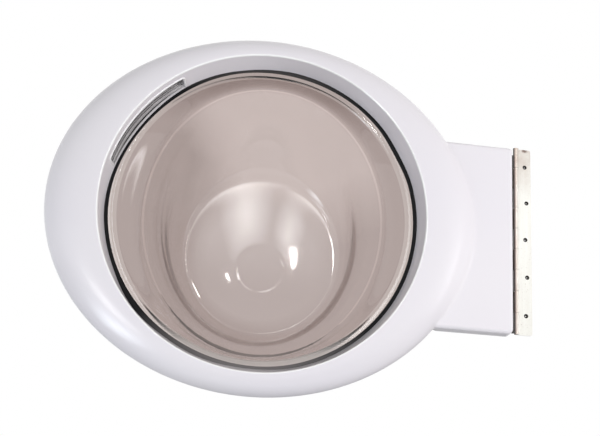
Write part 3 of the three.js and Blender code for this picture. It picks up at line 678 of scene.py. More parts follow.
class Growth:        # a tree with named inputs, and what it makes as a plain mesh

    def __init__(self, name, sizes):
        self.name = name
        self.tree = bpy.data.node_groups.new(name, "GeometryNodeTree")
        sockets = self.tree.interface
        sockets.new_socket("Geometry", in_out="INPUT", socket_type="NodeSocketGeometry")
        sockets.new_socket("Geometry", in_out="OUTPUT", socket_type="NodeSocketGeometry")
        self.keys = {}
        for size, value in sizes.items():
            kind = "NodeSocketInt" if isinstance(value, int) else "NodeSocketFloat"
            self.keys[size] = sockets.new_socket(size, in_out="INPUT", socket_type=kind).identifier
        self.sizes = sizes
        self.start = self.tree.nodes.new("NodeGroupInput")
        self.end = self.tree.nodes.new("NodeGroupOutput")

    def size(self, name):
        return self.start.outputs[name]

    def add(self, kind, inputs=None, **settings):
        node = self.tree.nodes.new(kind)
        for setting, value in settings.items():
            setattr(node, setting, value)
        for key, value in (inputs or {}).items():
            if isinstance(value, bpy.types.NodeSocket):
                self.tree.links.new(value, node.inputs[key])
            else:
                node.inputs[key].default_value = value
        return node

    def vector(self, x=0.0, y=0.0, z=0.0):
        return self.add("ShaderNodeCombineXYZ", {"X": x, "Y": y, "Z": z}).outputs["Vector"]

    def times(self, a, b):
        node = self.add("ShaderNodeMath", {0: a, 1: b}, operation="MULTIPLY")
        return node.outputs["Value"]

    def close(self, geometry, material):
        real = self.add("GeometryNodeRealizeInstances", {"Geometry": geometry})
        painted = self.add("GeometryNodeSetMaterial",
                           {"Geometry": real.outputs["Geometry"], "Material": material})
        self.tree.links.new(painted.outputs["Geometry"], self.end.inputs["Geometry"])

    def grow(self, seed, **changes):        # runs on a seed object, which becomes the result
        modifier = seed.modifiers.new(self.name, "NODES")
        modifier.node_group = self.tree
        for size, value in {**self.sizes, **changes}.items():
            modifier[self.keys[size]] = value
        return applied(seed)


def rowGrowth():        # copies of the seed in a straight row
    growth = Growth("row of copies", {"Count": 2, "Step Y": 0.0, "Step Z": 0.0})
    step = growth.vector(0.0, growth.size("Step Y"), growth.size("Step Z"))
    line = growth.add("GeometryNodeMeshLine",
                      {"Count": growth.size("Count"), "Start Location": (0, 0, 0), "Offset": step})
    copies = growth.add("GeometryNodeInstanceOnPoints", {
        "Points": line.outputs["Mesh"],
        "Instance": growth.start.outputs["Geometry"],
    })
    growth.close(copies.outputs["Instances"], gripMoulding)
    return growth


def screwGrowth():        # a countersunk cross-slot screw at each of the seed's points, heads towards +Y
    growth = Growth("countersunk screws", {
        "Head Radius": 0.003,
        "Head Height": 0.0017,
        "Rim": 0.0003,
        "Shank Radius": 0.0013,
        "Length": 0.013,
        "Slot Length": 0.0032,
        "Slot Width": 0.0007,
        "Slot Depth": 0.0011,
        "Seed": 3,
    })
    size = growth.size
    down = growth.times(size("Length"), -0.5)
    cone = growth.add("GeometryNodeMeshCone", {
        "Vertices": growthForm["headSides"],
        "Radius Top": size("Head Radius"),
        "Radius Bottom": size("Shank Radius"),
        "Depth": size("Head Height"),
    })
    sunk = growth.times(growth.add("ShaderNodeMath", {0: size("Head Height"), 1: size("Rim")},
                                   operation="ADD").outputs["Value"], -1)
    cone = growth.add("GeometryNodeTransform",
                      {"Geometry": cone.outputs["Mesh"], "Translation": growth.vector(0.0, 0.0, sunk)})
    rim = growth.add("GeometryNodeMeshCylinder", {
        "Vertices": growthForm["headSides"],
        "Radius": size("Head Radius"),
        "Depth": size("Rim"),
    })
    rim = growth.add("GeometryNodeTransform", {
        "Geometry": rim.outputs["Mesh"],
        "Translation": growth.vector(0.0, 0.0, growth.times(size("Rim"), -0.5)),
    })
    shank = growth.add("GeometryNodeMeshCylinder", {
        "Vertices": growthForm["shankSides"],
        "Radius": size("Shank Radius"),
        "Depth": size("Length"),
    })
    shank = growth.add("GeometryNodeTransform",
                       {"Geometry": shank.outputs["Mesh"], "Translation": growth.vector(0.0, 0.0, down)})
    body = growth.add("GeometryNodeMeshBoolean", {}, operation="UNION", solver="EXACT")
    for part in (cone, rim, shank):
        growth.tree.links.new(part.outputs["Geometry"], body.inputs["Mesh 2"])
    deep = growth.times(size("Slot Depth"), 2)
    slots = [
        growth.vector(size("Slot Length"), size("Slot Width"), deep),
        growth.vector(size("Slot Width"), size("Slot Length"), deep),
    ]
    cut = growth.add("GeometryNodeMeshBoolean", {"Mesh 1": body.outputs["Mesh"]},
                     operation="DIFFERENCE", solver="EXACT")
    for slot in slots:
        cube = growth.add("GeometryNodeMeshCube", {"Size": slot})
        growth.tree.links.new(cube.outputs["Mesh"], cut.inputs["Mesh 2"])
    spin = growth.add("FunctionNodeRandomValue", data_type="FLOAT")
    numbers = [s for s in spin.inputs if s.type == "VALUE"]
    numbers[1].default_value = math.pi
    growth.tree.links.new(size("Seed"), spin.inputs["Seed"])
    angle = [s for s in spin.outputs if s.type == "VALUE"][0]
    place = growth.add("GeometryNodeInstanceOnPoints", {
        "Points": growth.start.outputs["Geometry"],
        "Instance": cut.outputs["Mesh"],
    })
    place.inputs["Rotation"].default_value = (-math.pi / 2, 0, 0)
    spun = growth.add("GeometryNodeRotateInstances", {
        "Instances": place.outputs["Instances"],
        "Rotation": growth.vector(0.0, 0.0, angle),
    })
    growth.close(spun.outputs["Instances"], zincSteel)
    return growth


def wireGrowth():        # a round wire along the seed's line of points
    growth = Growth("drawn wire", {"Radius": 0.00045})
    line = growth.add("GeometryNodeMeshToCurve", {"Mesh": growth.start.outputs["Geometry"]})
    section = growth.add("GeometryNodeCurvePrimitiveCircle",
                         {"Resolution": growthForm["wireSides"], "Radius": growth.size("Radius")})
    wire = growth.add("GeometryNodeCurveToMesh", {
        "Curve": line.outputs["Curve"],
        "Profile Curve": section.outputs["Curve"],
        "Fill Caps": True,
    })
    growth.close(wire.outputs["Mesh"], drawnSteel)
    return growth


rowOfCopies = rowGrowth()
countersunkScrews = screwGrowth()
drawnWire = wireGrowth()
report("growths")


# Surround: one moulding with its funnel, crest, crowned face, arm and finger notch

shellForm = {
    "wall": 2.5,
    "funnelRadius": 157.0,
    "funnelDepth": 23.7,
    "crestRadius": 162.0,
    "crestRound": 1.6,
    "halfWidth": 213.5,
    "halfHeight": 183.6,
    "rise": 1.4,
    "rimDepth": 19.0,
    "backDepth": 30.9,
    "taper": 1.5,
    "crownPower": 2.6,
    "edgePower": 1.6,
    "armFace": 14.5,
    "armTop": 94.5,
    "armBottom": 102.6,
    "armEnd": 256.0,
    "armRound": 4.0,
    "armTopCorner": 4.0,
    "armBottomCorner": 5.5,
    "armFlare": 1.8,
    "cornerBlend": 3.0,
    "endBlend": 2.5,
    "middleBlend": 11.0,
    "detail": 1.9,
    "faceRings": 58,
    "crestSteps": 7,
    "sideSteps": 5,
    "backBevel": 0.5,
    "leastCorner": 0.3,
    "leastRight": 0.2,
    "nearArm": 20,
    "armHalfAngle": 60,
    "armFall": 4,
    "ovalFall": 2.2,
    "middleSpan": (0.3, 0.95),
    "faceReach": 14,
    "sideReach": 3,
    "faceSplits": (0.36, 0.8),
    "nearShare": 0.88,
    "shoulderShare": 0.93,
    "angleStep": 0.04,
    "turnStep": 6,
}

# where the funnel's foot and the gasket's lip stand in or out: middle and half width in degrees, mm
footSwell = ((147, 42, -4.2), (104, 26, -1.5), (30, 14, -1.2), (222, 18, 2.0), (268, 20, -1.2))
lipSwell = ((145, 44, -2.9), (30, 14, -1.6), (250, 40, -0.9), (58, 22, 0.6))

notchForm = {
    "fromAngle": 126.3,
    "toAngle": 167.6,
    "top": 9.2,
    "bottom": 21.7,
    "strip": 1.0,
    "corner": 1.6,
    "beadRadius": 1.1,
    "beadOut": 1.5,
    "beadDrop": 0.3,
    "beadStand": 0.2,
    "beadSides": 10,
    "cornerSteps": 8,
    "edgeSteps": 60,
    "innerReach": 10,
    "outerReach": 3,
}


def swell(places, degrees):
    total = 0.0
    for middle, half, height in places:
        away = abs((degrees - middle + 180) % 360 - 180)
        if away < half:
            total += height * (1 + math.cos(math.pi * away / half)) / 2
    return total


shellSlots = [shellMoulding, gripMoulding, polishedHighlightMoulding]


def ovalRadius(degrees, inset=0.0):
    form = shellForm
    c, s = polar(1, degrees)
    a = form["halfWidth"] - inset
    b = form["halfHeight"] - inset
    lift = form["rise"] * s / (b * b)
    square = (c / a) ** 2 + (s / b) ** 2
    return (lift + math.sqrt(lift * lift + square * (1 - (form["rise"] / b) ** 2))) / square


def armRadius(degrees, inset=0.0):        # from the bowl's axis to the arm's rounded outline
    form = shellForm
    c, s = polar(1, degrees)
    if c < form["leastRight"]:
        return 0.0
    right = form["armEnd"] - inset
    side = (form["armTop"] if s > 0 else form["armBottom"]) - inset
    corner = (form["armTopCorner"] if s > 0 else form["armBottomCorner"]) - inset
    corner = max(corner, form["leastCorner"])
    reach = min(right / c, side / max(abs(s), 1e-6))
    x, z = reach * c, reach * abs(s)
    centreX, centreZ = right - corner, side - corner
    if x > centreX and z > centreZ:
        along = centreX * c + centreZ * abs(s)
        across = centreX * abs(s) - centreZ * c
        if abs(across) < corner:
            reach = along + math.sqrt(corner * corner - across * across)
    return reach


def softMax(a, b, width):
    near = max(width - abs(a - b), 0) / width
    return max(a, b) + near * near * width / 4


def softMin(a, b, width):
    return -softMax(-a, -b, width)


def outlineRadius(degrees, ovalInset=0.0, armInset=0.0):        # the oval and the arm in one
    form = shellForm
    oval = ovalRadius(degrees, ovalInset)
    arm = armRadius(degrees, armInset)
    return softMax(oval, arm, form["cornerBlend"]) if arm > oval - form["nearArm"] else oval


def wallShare(depth):        # none at the rim of the side wall, all at its back
    form = shellForm
    return max(depth - form["rimDepth"], 0) / (form["backDepth"] - form["rimDepth"])


def outlineAngles(detail):        # closer together where the outline is far out or bends
    angles = []
    fine = shellForm["angleStep"]
    count = round(360 / fine)
    spots = [Vector(polar(outlineRadius(fine * i), fine * i)) for i in range(count)]
    travelled = 1.0
    for i in range(count):
        ahead = spots[(i + 1) % count] - spots[i]
        behind = spots[i] - spots[i - 1]
        turn = math.degrees(behind.angle(ahead, 0.0))
        travelled += ahead.length / detail + turn / shellForm["turnStep"]
        if travelled >= 1:
            angles.append(fine * i)
            travelled -= 1
    return angles


def crownDepth(share):
    rest = max(1 - share ** shellForm["crownPower"], 0)
    return shellForm["rimDepth"] * (1 - rest ** (1 / shellForm["edgePower"]))


def armDepth(x, z):
    form = shellForm
    side = form["armTop"] - z if z > 0 else form["armBottom"] + z
    corner = form["armTopCorner"] if z > 0 else form["armBottomCorner"]
    end = form["armEnd"] - x
    inward = min(side, end)
    if side < corner and end < corner:
        inward = corner - math.hypot(corner - side, corner - end)
    sink = form["armRound"] - min(max(inward, 0), form["armRound"])
    curve = form["armRound"] - math.sqrt(form["armRound"] ** 2 - sink ** 2)
    return form["armFace"] + curve + max(-inward, 0) * form["armFall"]


def faceDepth(radius, degrees):
    form = shellForm
    rim = ovalRadius(degrees)
    share = (radius - form["crestRadius"]) / (rim - form["crestRadius"])
    oval = crownDepth(min(share, 1)) + max(radius - rim, 0) * form["ovalFall"]
    if abs((degrees + 180) % 360 - 180) > form["armHalfAngle"]:
        return oval
    x, z = polar(radius, degrees)
    middle = 1 - smoothStep(*form["middleSpan"], abs(z) / form["armTop"])
    width = mix(form["endBlend"], form["middleBlend"], middle)
    return softMin(oval, armDepth(x, z), width)


def faceRadii(degrees):        # ring places from the crest to the outline
    form = shellForm
    count = form["faceRings"]
    crest = form["crestRadius"]
    rim = ovalRadius(degrees)
    outline = outlineRadius(degrees)
    onArm = smoothStep(0, form["faceReach"], outline - rim)
    low, high = form["faceSplits"]
    near = mix(crest, rim, form["nearShare"])
    shoulder = max(armRadius(degrees, form["armRound"]), mix(crest, rim, form["shoulderShare"]))
    radii = []
    for k in range(1, count + 1):
        u = k / count
        oval = crest + (outline - crest) * math.sin(u * math.pi / 2) ** (2 / form["crownPower"])
        if u < low:
            arm = mix(crest, near, u / low)
        elif u < high:
            arm = mix(near, shoulder, (u - low) / (high - low))
        else:
            arm = mix(shoulder, outline, math.sin((u - high) / (1 - high) * math.pi / 2))
        radii.append(mix(oval, arm, onArm))
    return radii


def backRadius(degrees, depth):        # the side wall draws in on the oval and flares on the arm
    form = shellForm
    onArm = smoothStep(0, form["sideReach"], armRadius(degrees) - ovalRadius(degrees))
    return outlineRadius(degrees) + wallShare(depth) * mix(-form["taper"], form["armFlare"], onArm)


def funnelFoot(degrees):
    return shellForm["funnelRadius"] + swell(footSwell, degrees)


def shellSection(degrees):        # closed section at one angle, as (radius, depth)
    form = shellForm
    wall = form["wall"]
    foot = form["crestRadius"] - form["crestRound"]
    steps = form["crestSteps"]
    section = []
    for k in range(steps):
        share = k / steps
        section.append((mix(funnelFoot(degrees), foot, share),
                        mix(form["funnelDepth"], form["crestRound"], share)))
    for k in range(steps):
        out, up = polar(form["crestRound"], 90 * k / steps)
        section.append((form["crestRadius"] - out, form["crestRound"] - up))
    section.append((form["crestRadius"], 0))
    face = [(radius, faceDepth(radius, degrees)) for radius in faceRadii(degrees)]
    section += face
    edge = face[-1][1]
    back, bevel = form["backDepth"], form["backBevel"]
    for k in range(1, form["sideSteps"] + 1):
        depth = mix(edge, back - bevel, k / form["sideSteps"])
        section.append((backRadius(degrees, depth), depth))
    rear = backRadius(degrees, back)
    section.append((rear - bevel, back))
    section.append((rear - wall, back))
    section.append((face[-1][0] - wall, edge + 1))
    for k in range(len(face) - 4, 4, -5):
        radius, depth = face[k]
        section.append((radius - wall * k / len(face), min(depth + wall, edge)))
    section.append((foot + wall, form["crestRound"] + wall))
    section.append((form["funnelRadius"] + wall, form["funnelDepth"]))
    return section


def notchTop(angle, grow):        # depth of the notch's upper edge, rounded down at both ends
    form = notchForm
    corner = form["corner"] + grow
    reach = math.radians(min(angle - form["fromAngle"], form["toAngle"] - angle))
    reach = reach * shellForm["crestRadius"] + grow
    sink = corner - min(max(reach, 0), corner)
    return form["top"] - grow + corner - math.sqrt(max(corner * corner - sink * sink, 0))


def notchOutline(grow, bottom):        # (angle, depth) along the notch's upper edge and both ends
    form = notchForm
    reach = math.degrees(grow / shellForm["crestRadius"])
    low, high = form["fromAngle"] - reach, form["toAngle"] + reach
    near = math.degrees((form["corner"] + grow) / shellForm["crestRadius"])
    bends = [math.pi / 2 * k / form["cornerSteps"] for k in range(form["cornerSteps"] + 1)]
    steps = form["edgeSteps"]
    angles = [low + near * (1 - math.cos(bend)) for bend in bends]
    angles += [mix(low + near, high - near, k / steps) for k in range(1, steps)]
    angles += [high - near * (1 - math.sin(bend)) for bend in bends]
    path = [(angle, notchTop(angle, grow)) for angle in angles]
    return [(low, bottom)] + path + [(high, bottom)]


def notchCutter():
    # a thin strip of the funnel is left standing below the opening
    form = notchForm
    bottom = form["bottom"]
    inner = shellForm["funnelRadius"] - form["innerReach"]
    outer = shellForm["crestRadius"] + form["outerReach"]
    rings = []
    for angle, top in notchOutline(0, bottom)[1:-1]:
        c, s = polar(1, angle)
        strip = funnelRadiusAt(bottom, angle) + form["strip"]
        behind = shellForm["funnelDepth"] + 1
        section = [(inner, top), (outer, top), (outer, behind), (strip, behind),
                   (strip, bottom), (inner, bottom)]
        rings.append([(r * c, depth, r * s) for r, depth in section])
    # the cutter's faces give the notch's cut walls the grey grip finish: painted shade on the white
    # moulding
    return inked(lofted("notch cutter", rings, capped=True), shellSlots, 1)


def funnelRadiusAt(depth, degrees):
    form = shellForm
    foot = form["crestRadius"] - form["crestRound"]
    share = (form["funnelDepth"] - depth) / (form["funnelDepth"] - form["crestRound"])
    return mix(funnelFoot(degrees), foot, share)


def notchBead():        # the raised lip round the notch, in the lighter polished finish: a painted highlight along it
    form = notchForm
    rings, middle = [], []
    for angle, depth in notchOutline(form["beadOut"], form["bottom"] - form["beadDrop"]):
        x, z = polar(funnelRadiusAt(depth, angle) + form["beadStand"], angle)
        middle.append(Vector((x, depth, z)))
    for i, here in enumerate(middle):
        along = (middle[min(i + 1, len(middle) - 1)] - middle[max(i - 1, 0)]).normalized()
        inward = Vector((-here.x, 0, -here.z)).normalized()
        across = along.cross(inward).normalized()
        inward = across.cross(along).normalized()
        ring = []
        for k in range(form["beadSides"]):
            c, s = polar(form["beadRadius"], 360 * k / form["beadSides"])
            ring.append(here + across * c + inward * s)
        rings.append(ring)
    return inked(lofted("notch bead", rings, capped=True), [], 2)


def makeShell():
    angles = outlineAngles(shellForm["detail"])
    sections = [shellSection(degrees) for degrees in angles]
    shell = inked(loftedRound("surround", angles, sections), shellSlots)
    steps = shellForm["crestSteps"]
    for band in range(steps, 2 * steps):        # the crest is polished, and its lighter colour is a painted highlight
        for face in shell.data.polygons[band * len(angles):(band + 1) * len(angles)]:
            face.material_index = 2
    combined(shell, [notchCutter()], "DIFFERENCE")
    joined(shell, [notchBead()])
    crisp(shell, 40)
    return dress(shell, None, "door", "shell", "front_shell")


makeShell()
report("surround")


# Gasket

gasketForm = {
    "lipRadius": 153.3,
    "radius": 168.6,
    "front": 24.0,
    "lip": 1.8,
    "web": 2.7,
    "back": 33.0,
    "backLipRadius": 159.0,
    "backLip": 1.6,
    "rounds": (0.5, 0.9, 0.5, 0.5, 0.6, 0.5, 0.4, 0.4, 0.4),
    "sides": 256,
}


def makeGasket():
    form = gasketForm
    web = form["radius"] - form["web"]
    lipFront = form["front"] + form["lip"] / 2
    backLip = form["back"] - form["backLip"]
    angles = [360 * i / form["sides"] for i in range(form["sides"])]
    sections = []
    for degrees in angles:
        lipRadius = form["lipRadius"] + swell(lipSwell, degrees)
        section = [
            (lipRadius, lipFront),
            (lipRadius + form["lip"], form["front"]),
            (form["radius"], form["front"]),
            (form["radius"], form["back"]),
            (form["backLipRadius"], form["back"]),
            (form["backLipRadius"], backLip),
            (web, backLip),
            (web, form["front"] + form["lip"]),
            (lipRadius, form["front"] + form["lip"]),
        ]
        sections.append(rounded(section, form["rounds"]))
    gasket = loftedRound("gasket", angles, sections)
    return dress(crisp(gasket), gasketRubber, "door", "gasket", "glass_gasket")


makeGasket()
report("gasket")


# Glass bowl

bowlForm = {
    "flangeRadius": 165.6,
    "flange": 5.0,
    "flangeWidth": 8.0,
    "flangeRound": 1.5,
    "front": 26.1,
    "wall": 5.0,
    "sides": 176,
    "steps": 5,
    "rimDepth": 1.9,
    "lineDepth": 21.5,
    "lineReach": 1.1,
    "darkLineStart": 0.64,
    "darkLineReach": 5.5,
    "darkLineLean": 0.1,
}
# from the mouth to the bottom: depth, half width, half height, and the centre's lean and rise
bowlStations = [
    (0.0, 149.0, 149.0, 0.0, 0.0),
    (1.2, 146.4, 147.6, 0.0, 0.0),
    (4.5, 142.6, 146.5, 0.3, 0.0),
    (13.0, 131.0, 144.3, 1.3, 0.7),
    (17.0, 126.6, 143.3, 1.7, 1.0),
    (21.0, 123.1, 142.2, 2.1, 1.3),
    (25.5, 119.8, 140.9, 2.3, 1.6),
    (33.0, 115.0, 138.5, 2.3, 2.9),
    (42.0, 110.0, 135.4, 2.2, 4.4),
    (52.0, 106.0, 131.6, 2.1, 5.4),
    (61.0, 103.3, 127.9, 2.1, 5.2),
    (70.0, 101.4, 123.9, 2.6, 3.8),
    (80.0, 100.3, 119.0, 3.6, 0.6),
    (90.0, 99.5, 113.8, 4.8, -3.4),
    (100.5, 97.8, 107.6, 6.2, -8.0),
    (109.0, 94.9, 102.0, 7.3, -11.6),
    (115.0, 91.4, 97.0, 7.8, -13.8),
    (118.0, 87.6, 91.8, 8.0, -15.0),
    (119.0, 83.2, 86.4, 8.0, -16.0),
    (118.5, 62.0, 64.0, 8.0, -19.8),
    (117.95, 42.0, 42.0, 8.0, -27.0),
    (117.8, 32.0, 32.0, 8.0, -30.4),
    (117.8, 27.5, 27.5, 8.0, -31.5),
    (118.0, 24.0, 24.0, 8.0, -32.0),
    (118.05, 12.0, 12.0, 8.0, -32.0),
    (118.05, 4.0, 4.0, 8.0, -32.0),
]


def smoothPath(points, steps):        # a smooth run through the points
    path = []
    for i in range(len(points) - 1):
        a = Vector(points[max(i - 1, 0)])
        b = Vector(points[i])
        c = Vector(points[i + 1])
        d = Vector(points[min(i + 2, len(points) - 1)])
        for step in range(steps):
            t = step / steps
            path.append(((2 * b) + (c - a) * t + (2 * a - 5 * b + 4 * c - d) * t * t
                         + (3 * b - a - 3 * c + d) * t ** 3) / 2)
    path.append(Vector(points[-1]))
    return path


def makeBowl():
    form = bowlForm
    wall = form["wall"]
    inside = smoothPath(bowlStations, form["steps"])
    outside = []
    for i, (deep, wide, tall, lean, rise) in enumerate(inside):
        step = inside[min(i + 1, len(inside) - 1)] - inside[max(i - 1, 0)]
        acrossWide = Vector((step[0], step[1])).normalized()
        acrossTall = Vector((step[0], step[2])).normalized()
        deep = max(deep - (acrossWide.y + acrossTall.y) / 2 * wall, form["flange"])
        outside.append((deep, wide + acrossWide.x * wall, tall + acrossTall.x * wall, lean, rise))
    rim, thick = form["flangeRadius"], form["flange"]
    inner = rim - form["flangeWidth"]
    edge = rounded([(rim, thick), (rim, 0.0), (inner, 0.0), (inner, thick)],
                   [form["flangeRound"], form["flangeRound"], 0, 0])
    edge = [(d, r, r, 0.0, 0.0) for r, d in edge[:-2]]
    profile = list(reversed(outside)) + edge + [tuple(station) for station in inside]
    circle = [polar(1, 360 * i / form["sides"]) for i in range(form["sides"])]
    rings = [[(lean + wide * c, form["front"] + deep, rise + tall * s) for c, s in circle]
             for deep, wide, tall, lean, rise in profile]
    bowl = inked(lofted("bowl", rings, capped=True), [bowlGlass, highlightLineGlass, darkLineGlass, rimGlass])
    # the flange's edge and the mouth's first rim take the edge finish, with its painted reflection along
    # the bottom
    for k in range(len(outside), len(outside) + len(edge)):
        for i in range(form["sides"]):
            bowl.data.polygons[k * form["sides"] + i].material_index = 3
    start = len(profile) - len(inside)
    for k in range(start, len(profile) - 1):        # the line where the mouth turns into the bowl: a painted dark line along the bottom, where the black gasket shows through, and a painted highlight line round the rest
        middle = (profile[k][0] + profile[k + 1][0]) / 2
        for i in range(form["sides"]):
            low = -math.sin(math.radians(360 * i / form["sides"]) + form["darkLineLean"])
            share = max(low - form["darkLineStart"], 0) / (1 - form["darkLineStart"])
            reach = form["darkLineReach"] * share * share
            face = bowl.data.polygons[k * form["sides"] + i]
            if profile[k][0] < form["rimDepth"]:
                face.material_index = 3
            elif abs(middle - form["lineDepth"]) < reach:
                face.material_index = 2
            elif abs(middle - form["lineDepth"]) < form["lineReach"]:
                face.material_index = 1
    return dress(bowl, None, "door", "glass", "glass_bowl")


makeBowl()
report("glass bowl")


# Rear cover

coverForm = {
    "thickness": 2.7,
    "lipRadius": 158.0,
    "lipFront": 33.3,
    "lip": 2.2,
    "riserInner": 168.9,
    "riser": 171.3,
    "skirt": 4.2,
    "skirtWall": 2.0,
    "gap": 0.3,
    "screwAngles": (35, 65, 100, 150, 205, 245, 285, 322),
    "stopAngles": (133, 227),
    "latchX": -189.0,
    "latchScrewZ": 24.5,
    "windowHalfHeight": 5.0,
    "windowLeft": 7.2,
    "windowRight": 8.4,
    "windowReach": 6.0,
    "windowRound": 1.2,
    "armSkirt": 0.3,
    "armSpan": (-2, 6),
    "rounds": (0, 0.8, 0.8, 1.1, 0.6, 0.7, 0, 0, 0, 0),
    "detail": 2.4,
    "rimInset": 4.0,
    "steps": 4,
    "sharpAngle": 38,
}

screwForm = {
    "head": 3.0,
    "headHeight": 1.7,
    "shank": 1.3,
    "play": 0.3,
    "rim": 0.3,
    "sink": 0.2,
    "bore": 9.0,
    "sides": 32,
    "fromBack": 0.1,
    "length": 13.0,
    "latchLength": 5.0,
}
past = 1.0        # how far a cutter reaches past a face


def sideRadius(degrees, depth, inset):        # outline of the surround's side wall at a depth
    form = shellForm
    share = wallShare(depth)
    return outlineRadius(degrees, inset + form["taper"] * share, inset - form["armFlare"] * share)


def rimPlace(degrees):        # midway between the riser and the side wall
    form = coverForm
    return polar((form["riser"] + ovalRadius(degrees, form["rimInset"])) / 2, degrees)


def coverSection(degrees):
    form = coverForm
    back = shellForm["backDepth"]
    front = back - form["thickness"]
    edge = sideRadius(degrees, back, shellForm["wall"] + form["gap"])
    onArm = smoothStep(*form["armSpan"], armRadius(degrees) - ovalRadius(degrees))
    skirt = front - mix(form["skirt"], form["armSkirt"], onArm)
    lipBack = form["lipFront"] + form["lip"]
    section = [
        (form["riserInner"], form["lipFront"]),
        (form["lipRadius"], form["lipFront"]),
        (form["lipRadius"], lipBack),
        (form["riser"], lipBack),
        (form["riser"], back),
        (edge, back),
        (edge, skirt),
        (edge - form["skirtWall"], skirt),
        (edge - form["skirtWall"], front),
        (form["riserInner"], front),
    ]
    return rounded(section, form["rounds"], form["steps"])


def screwCutter(x, z, back):
    form = screwForm
    head, shank = form["head"] + form["play"], form["shank"] + form["play"]
    sunk = back - form["sink"]
    section = [
        (0.0, back + past),
        (head, back + past),
        (head, sunk),
        (shank, sunk - form["headHeight"]),
        (shank, back - form["bore"]),
        (0.0, back - form["bore"]),
    ]
    return turned("screw cutter", section, form["sides"], x, z)


def boxCutter(low, high, origin=doorOrigin):
    (x0, y0, z0), (x1, y1, z1) = low, high
    rings = [[(x0, y, z0), (x1, y, z0), (x1, y, z1), (x0, y, z1)] for y in (y0, y1)]
    return lofted("box cutter", rings, capped=True, origin=origin)


def makeCover():
    form = coverForm
    back = shellForm["backDepth"]
    angles = outlineAngles(form["detail"])
    sections = [coverSection(degrees) for degrees in angles]
    cover = loftedRound("back_cover", angles, sections)
    places = [rimPlace(a) for a in form["screwAngles"]]
    places += [(form["latchX"], side * form["latchScrewZ"]) for side in (-1, 1)]
    cutters = [screwCutter(x, z, back) for x, z in places]
    reach = form["windowReach"]
    window = boxCutter(
        (form["latchX"] - form["windowLeft"], back - reach, -form["windowHalfHeight"]),
        (form["latchX"] + form["windowRight"], back + reach, form["windowHalfHeight"]),
    )
    bevelled(window, form["windowRound"], form["steps"])
    combined(cover, cutters + [window], "DIFFERENCE")
    return dress(crisp(cover, form["sharpAngle"], True), coverMoulding, "door", "cover", "rear_cover")


makeCover()
report("rear cover")


# Finger grip

gripForm = {
    "fromAngle": 126.3,
    "toAngle": 167.6,
    "radius": 181.0,
    "mouthRadius": 159.8,
    "front": 4.4,
    "back": 23.7,
    "wall": 2.0,
    "slope": 5.0,
    "corner": 2.4,
    "ribs": 3,
    "ribWidth": 1.1,
    "ribHeight": 2.4,
    "lowerReach": 3.6,
    "ledges": (158.0, 159.9, 161.8),
    "ledgeWidth": 0.7,
    "ledgeHeight": 1.1,
    "earAngle": 3.4,
    "earRadius": 174.0,
    "earLength": 10.0,
    "earLap": 0.8,
    "earHole": 1.6,
    "earHoleInset": 1.7,
    "earSteps": 6,
    "holeSides": 24,
    "roofShort": 3.2,
    "hollowReach": 4.0,
    "hollowRound": 1.5,
    "ledgeFoot": 0.2,
    "ledgeSink": 0.5,
    "ledgeRound": 0.3,
    "ribStart": 0.6,
    "ribFoot": 0.3,
    "ribRound": 0.5,
    "overrun": 0.4,
    "steps": 48,
}


def gripSkin(inset, reach):        # profile of the pocket: sloping roof, floor and lower wall
    form = gripForm
    lean = form["slope"] / (form["radius"] - form["mouthRadius"])
    front = form["front"] + inset
    floor = form["radius"] - inset
    back = form["back"] - inset
    mouth = form["mouthRadius"] - reach
    return [
        (mouth, front + lean * (mouth - form["mouthRadius"])),
        (floor, front + form["slope"]),
        (floor, back),
        (mouth, back),
    ]


def gripLedge(radius):        # a low line along the pocket's lower wall, for the fingertips
    form = gripForm
    foot = form["back"] - form["wall"]
    half = form["ledgeWidth"] / 2
    wide = half + form["ledgeFoot"]
    section = rounded([
        (radius - half, foot - form["ledgeHeight"]),
        (radius + half, foot - form["ledgeHeight"]),
        (radius + wide, foot + form["ledgeSink"]),
        (radius - wide, foot + form["ledgeSink"]),
    ], [form["ledgeRound"], form["ledgeRound"], 0, 0], 3)
    return alongGrip("grip ledge", section)


def alongGrip(name, section):        # swept from end to end of the pocket and into its walls
    form = gripForm
    start, end = form["fromAngle"] - form["overrun"], form["toAngle"] + form["overrun"]
    return swept(name, section, start, end, form["steps"])


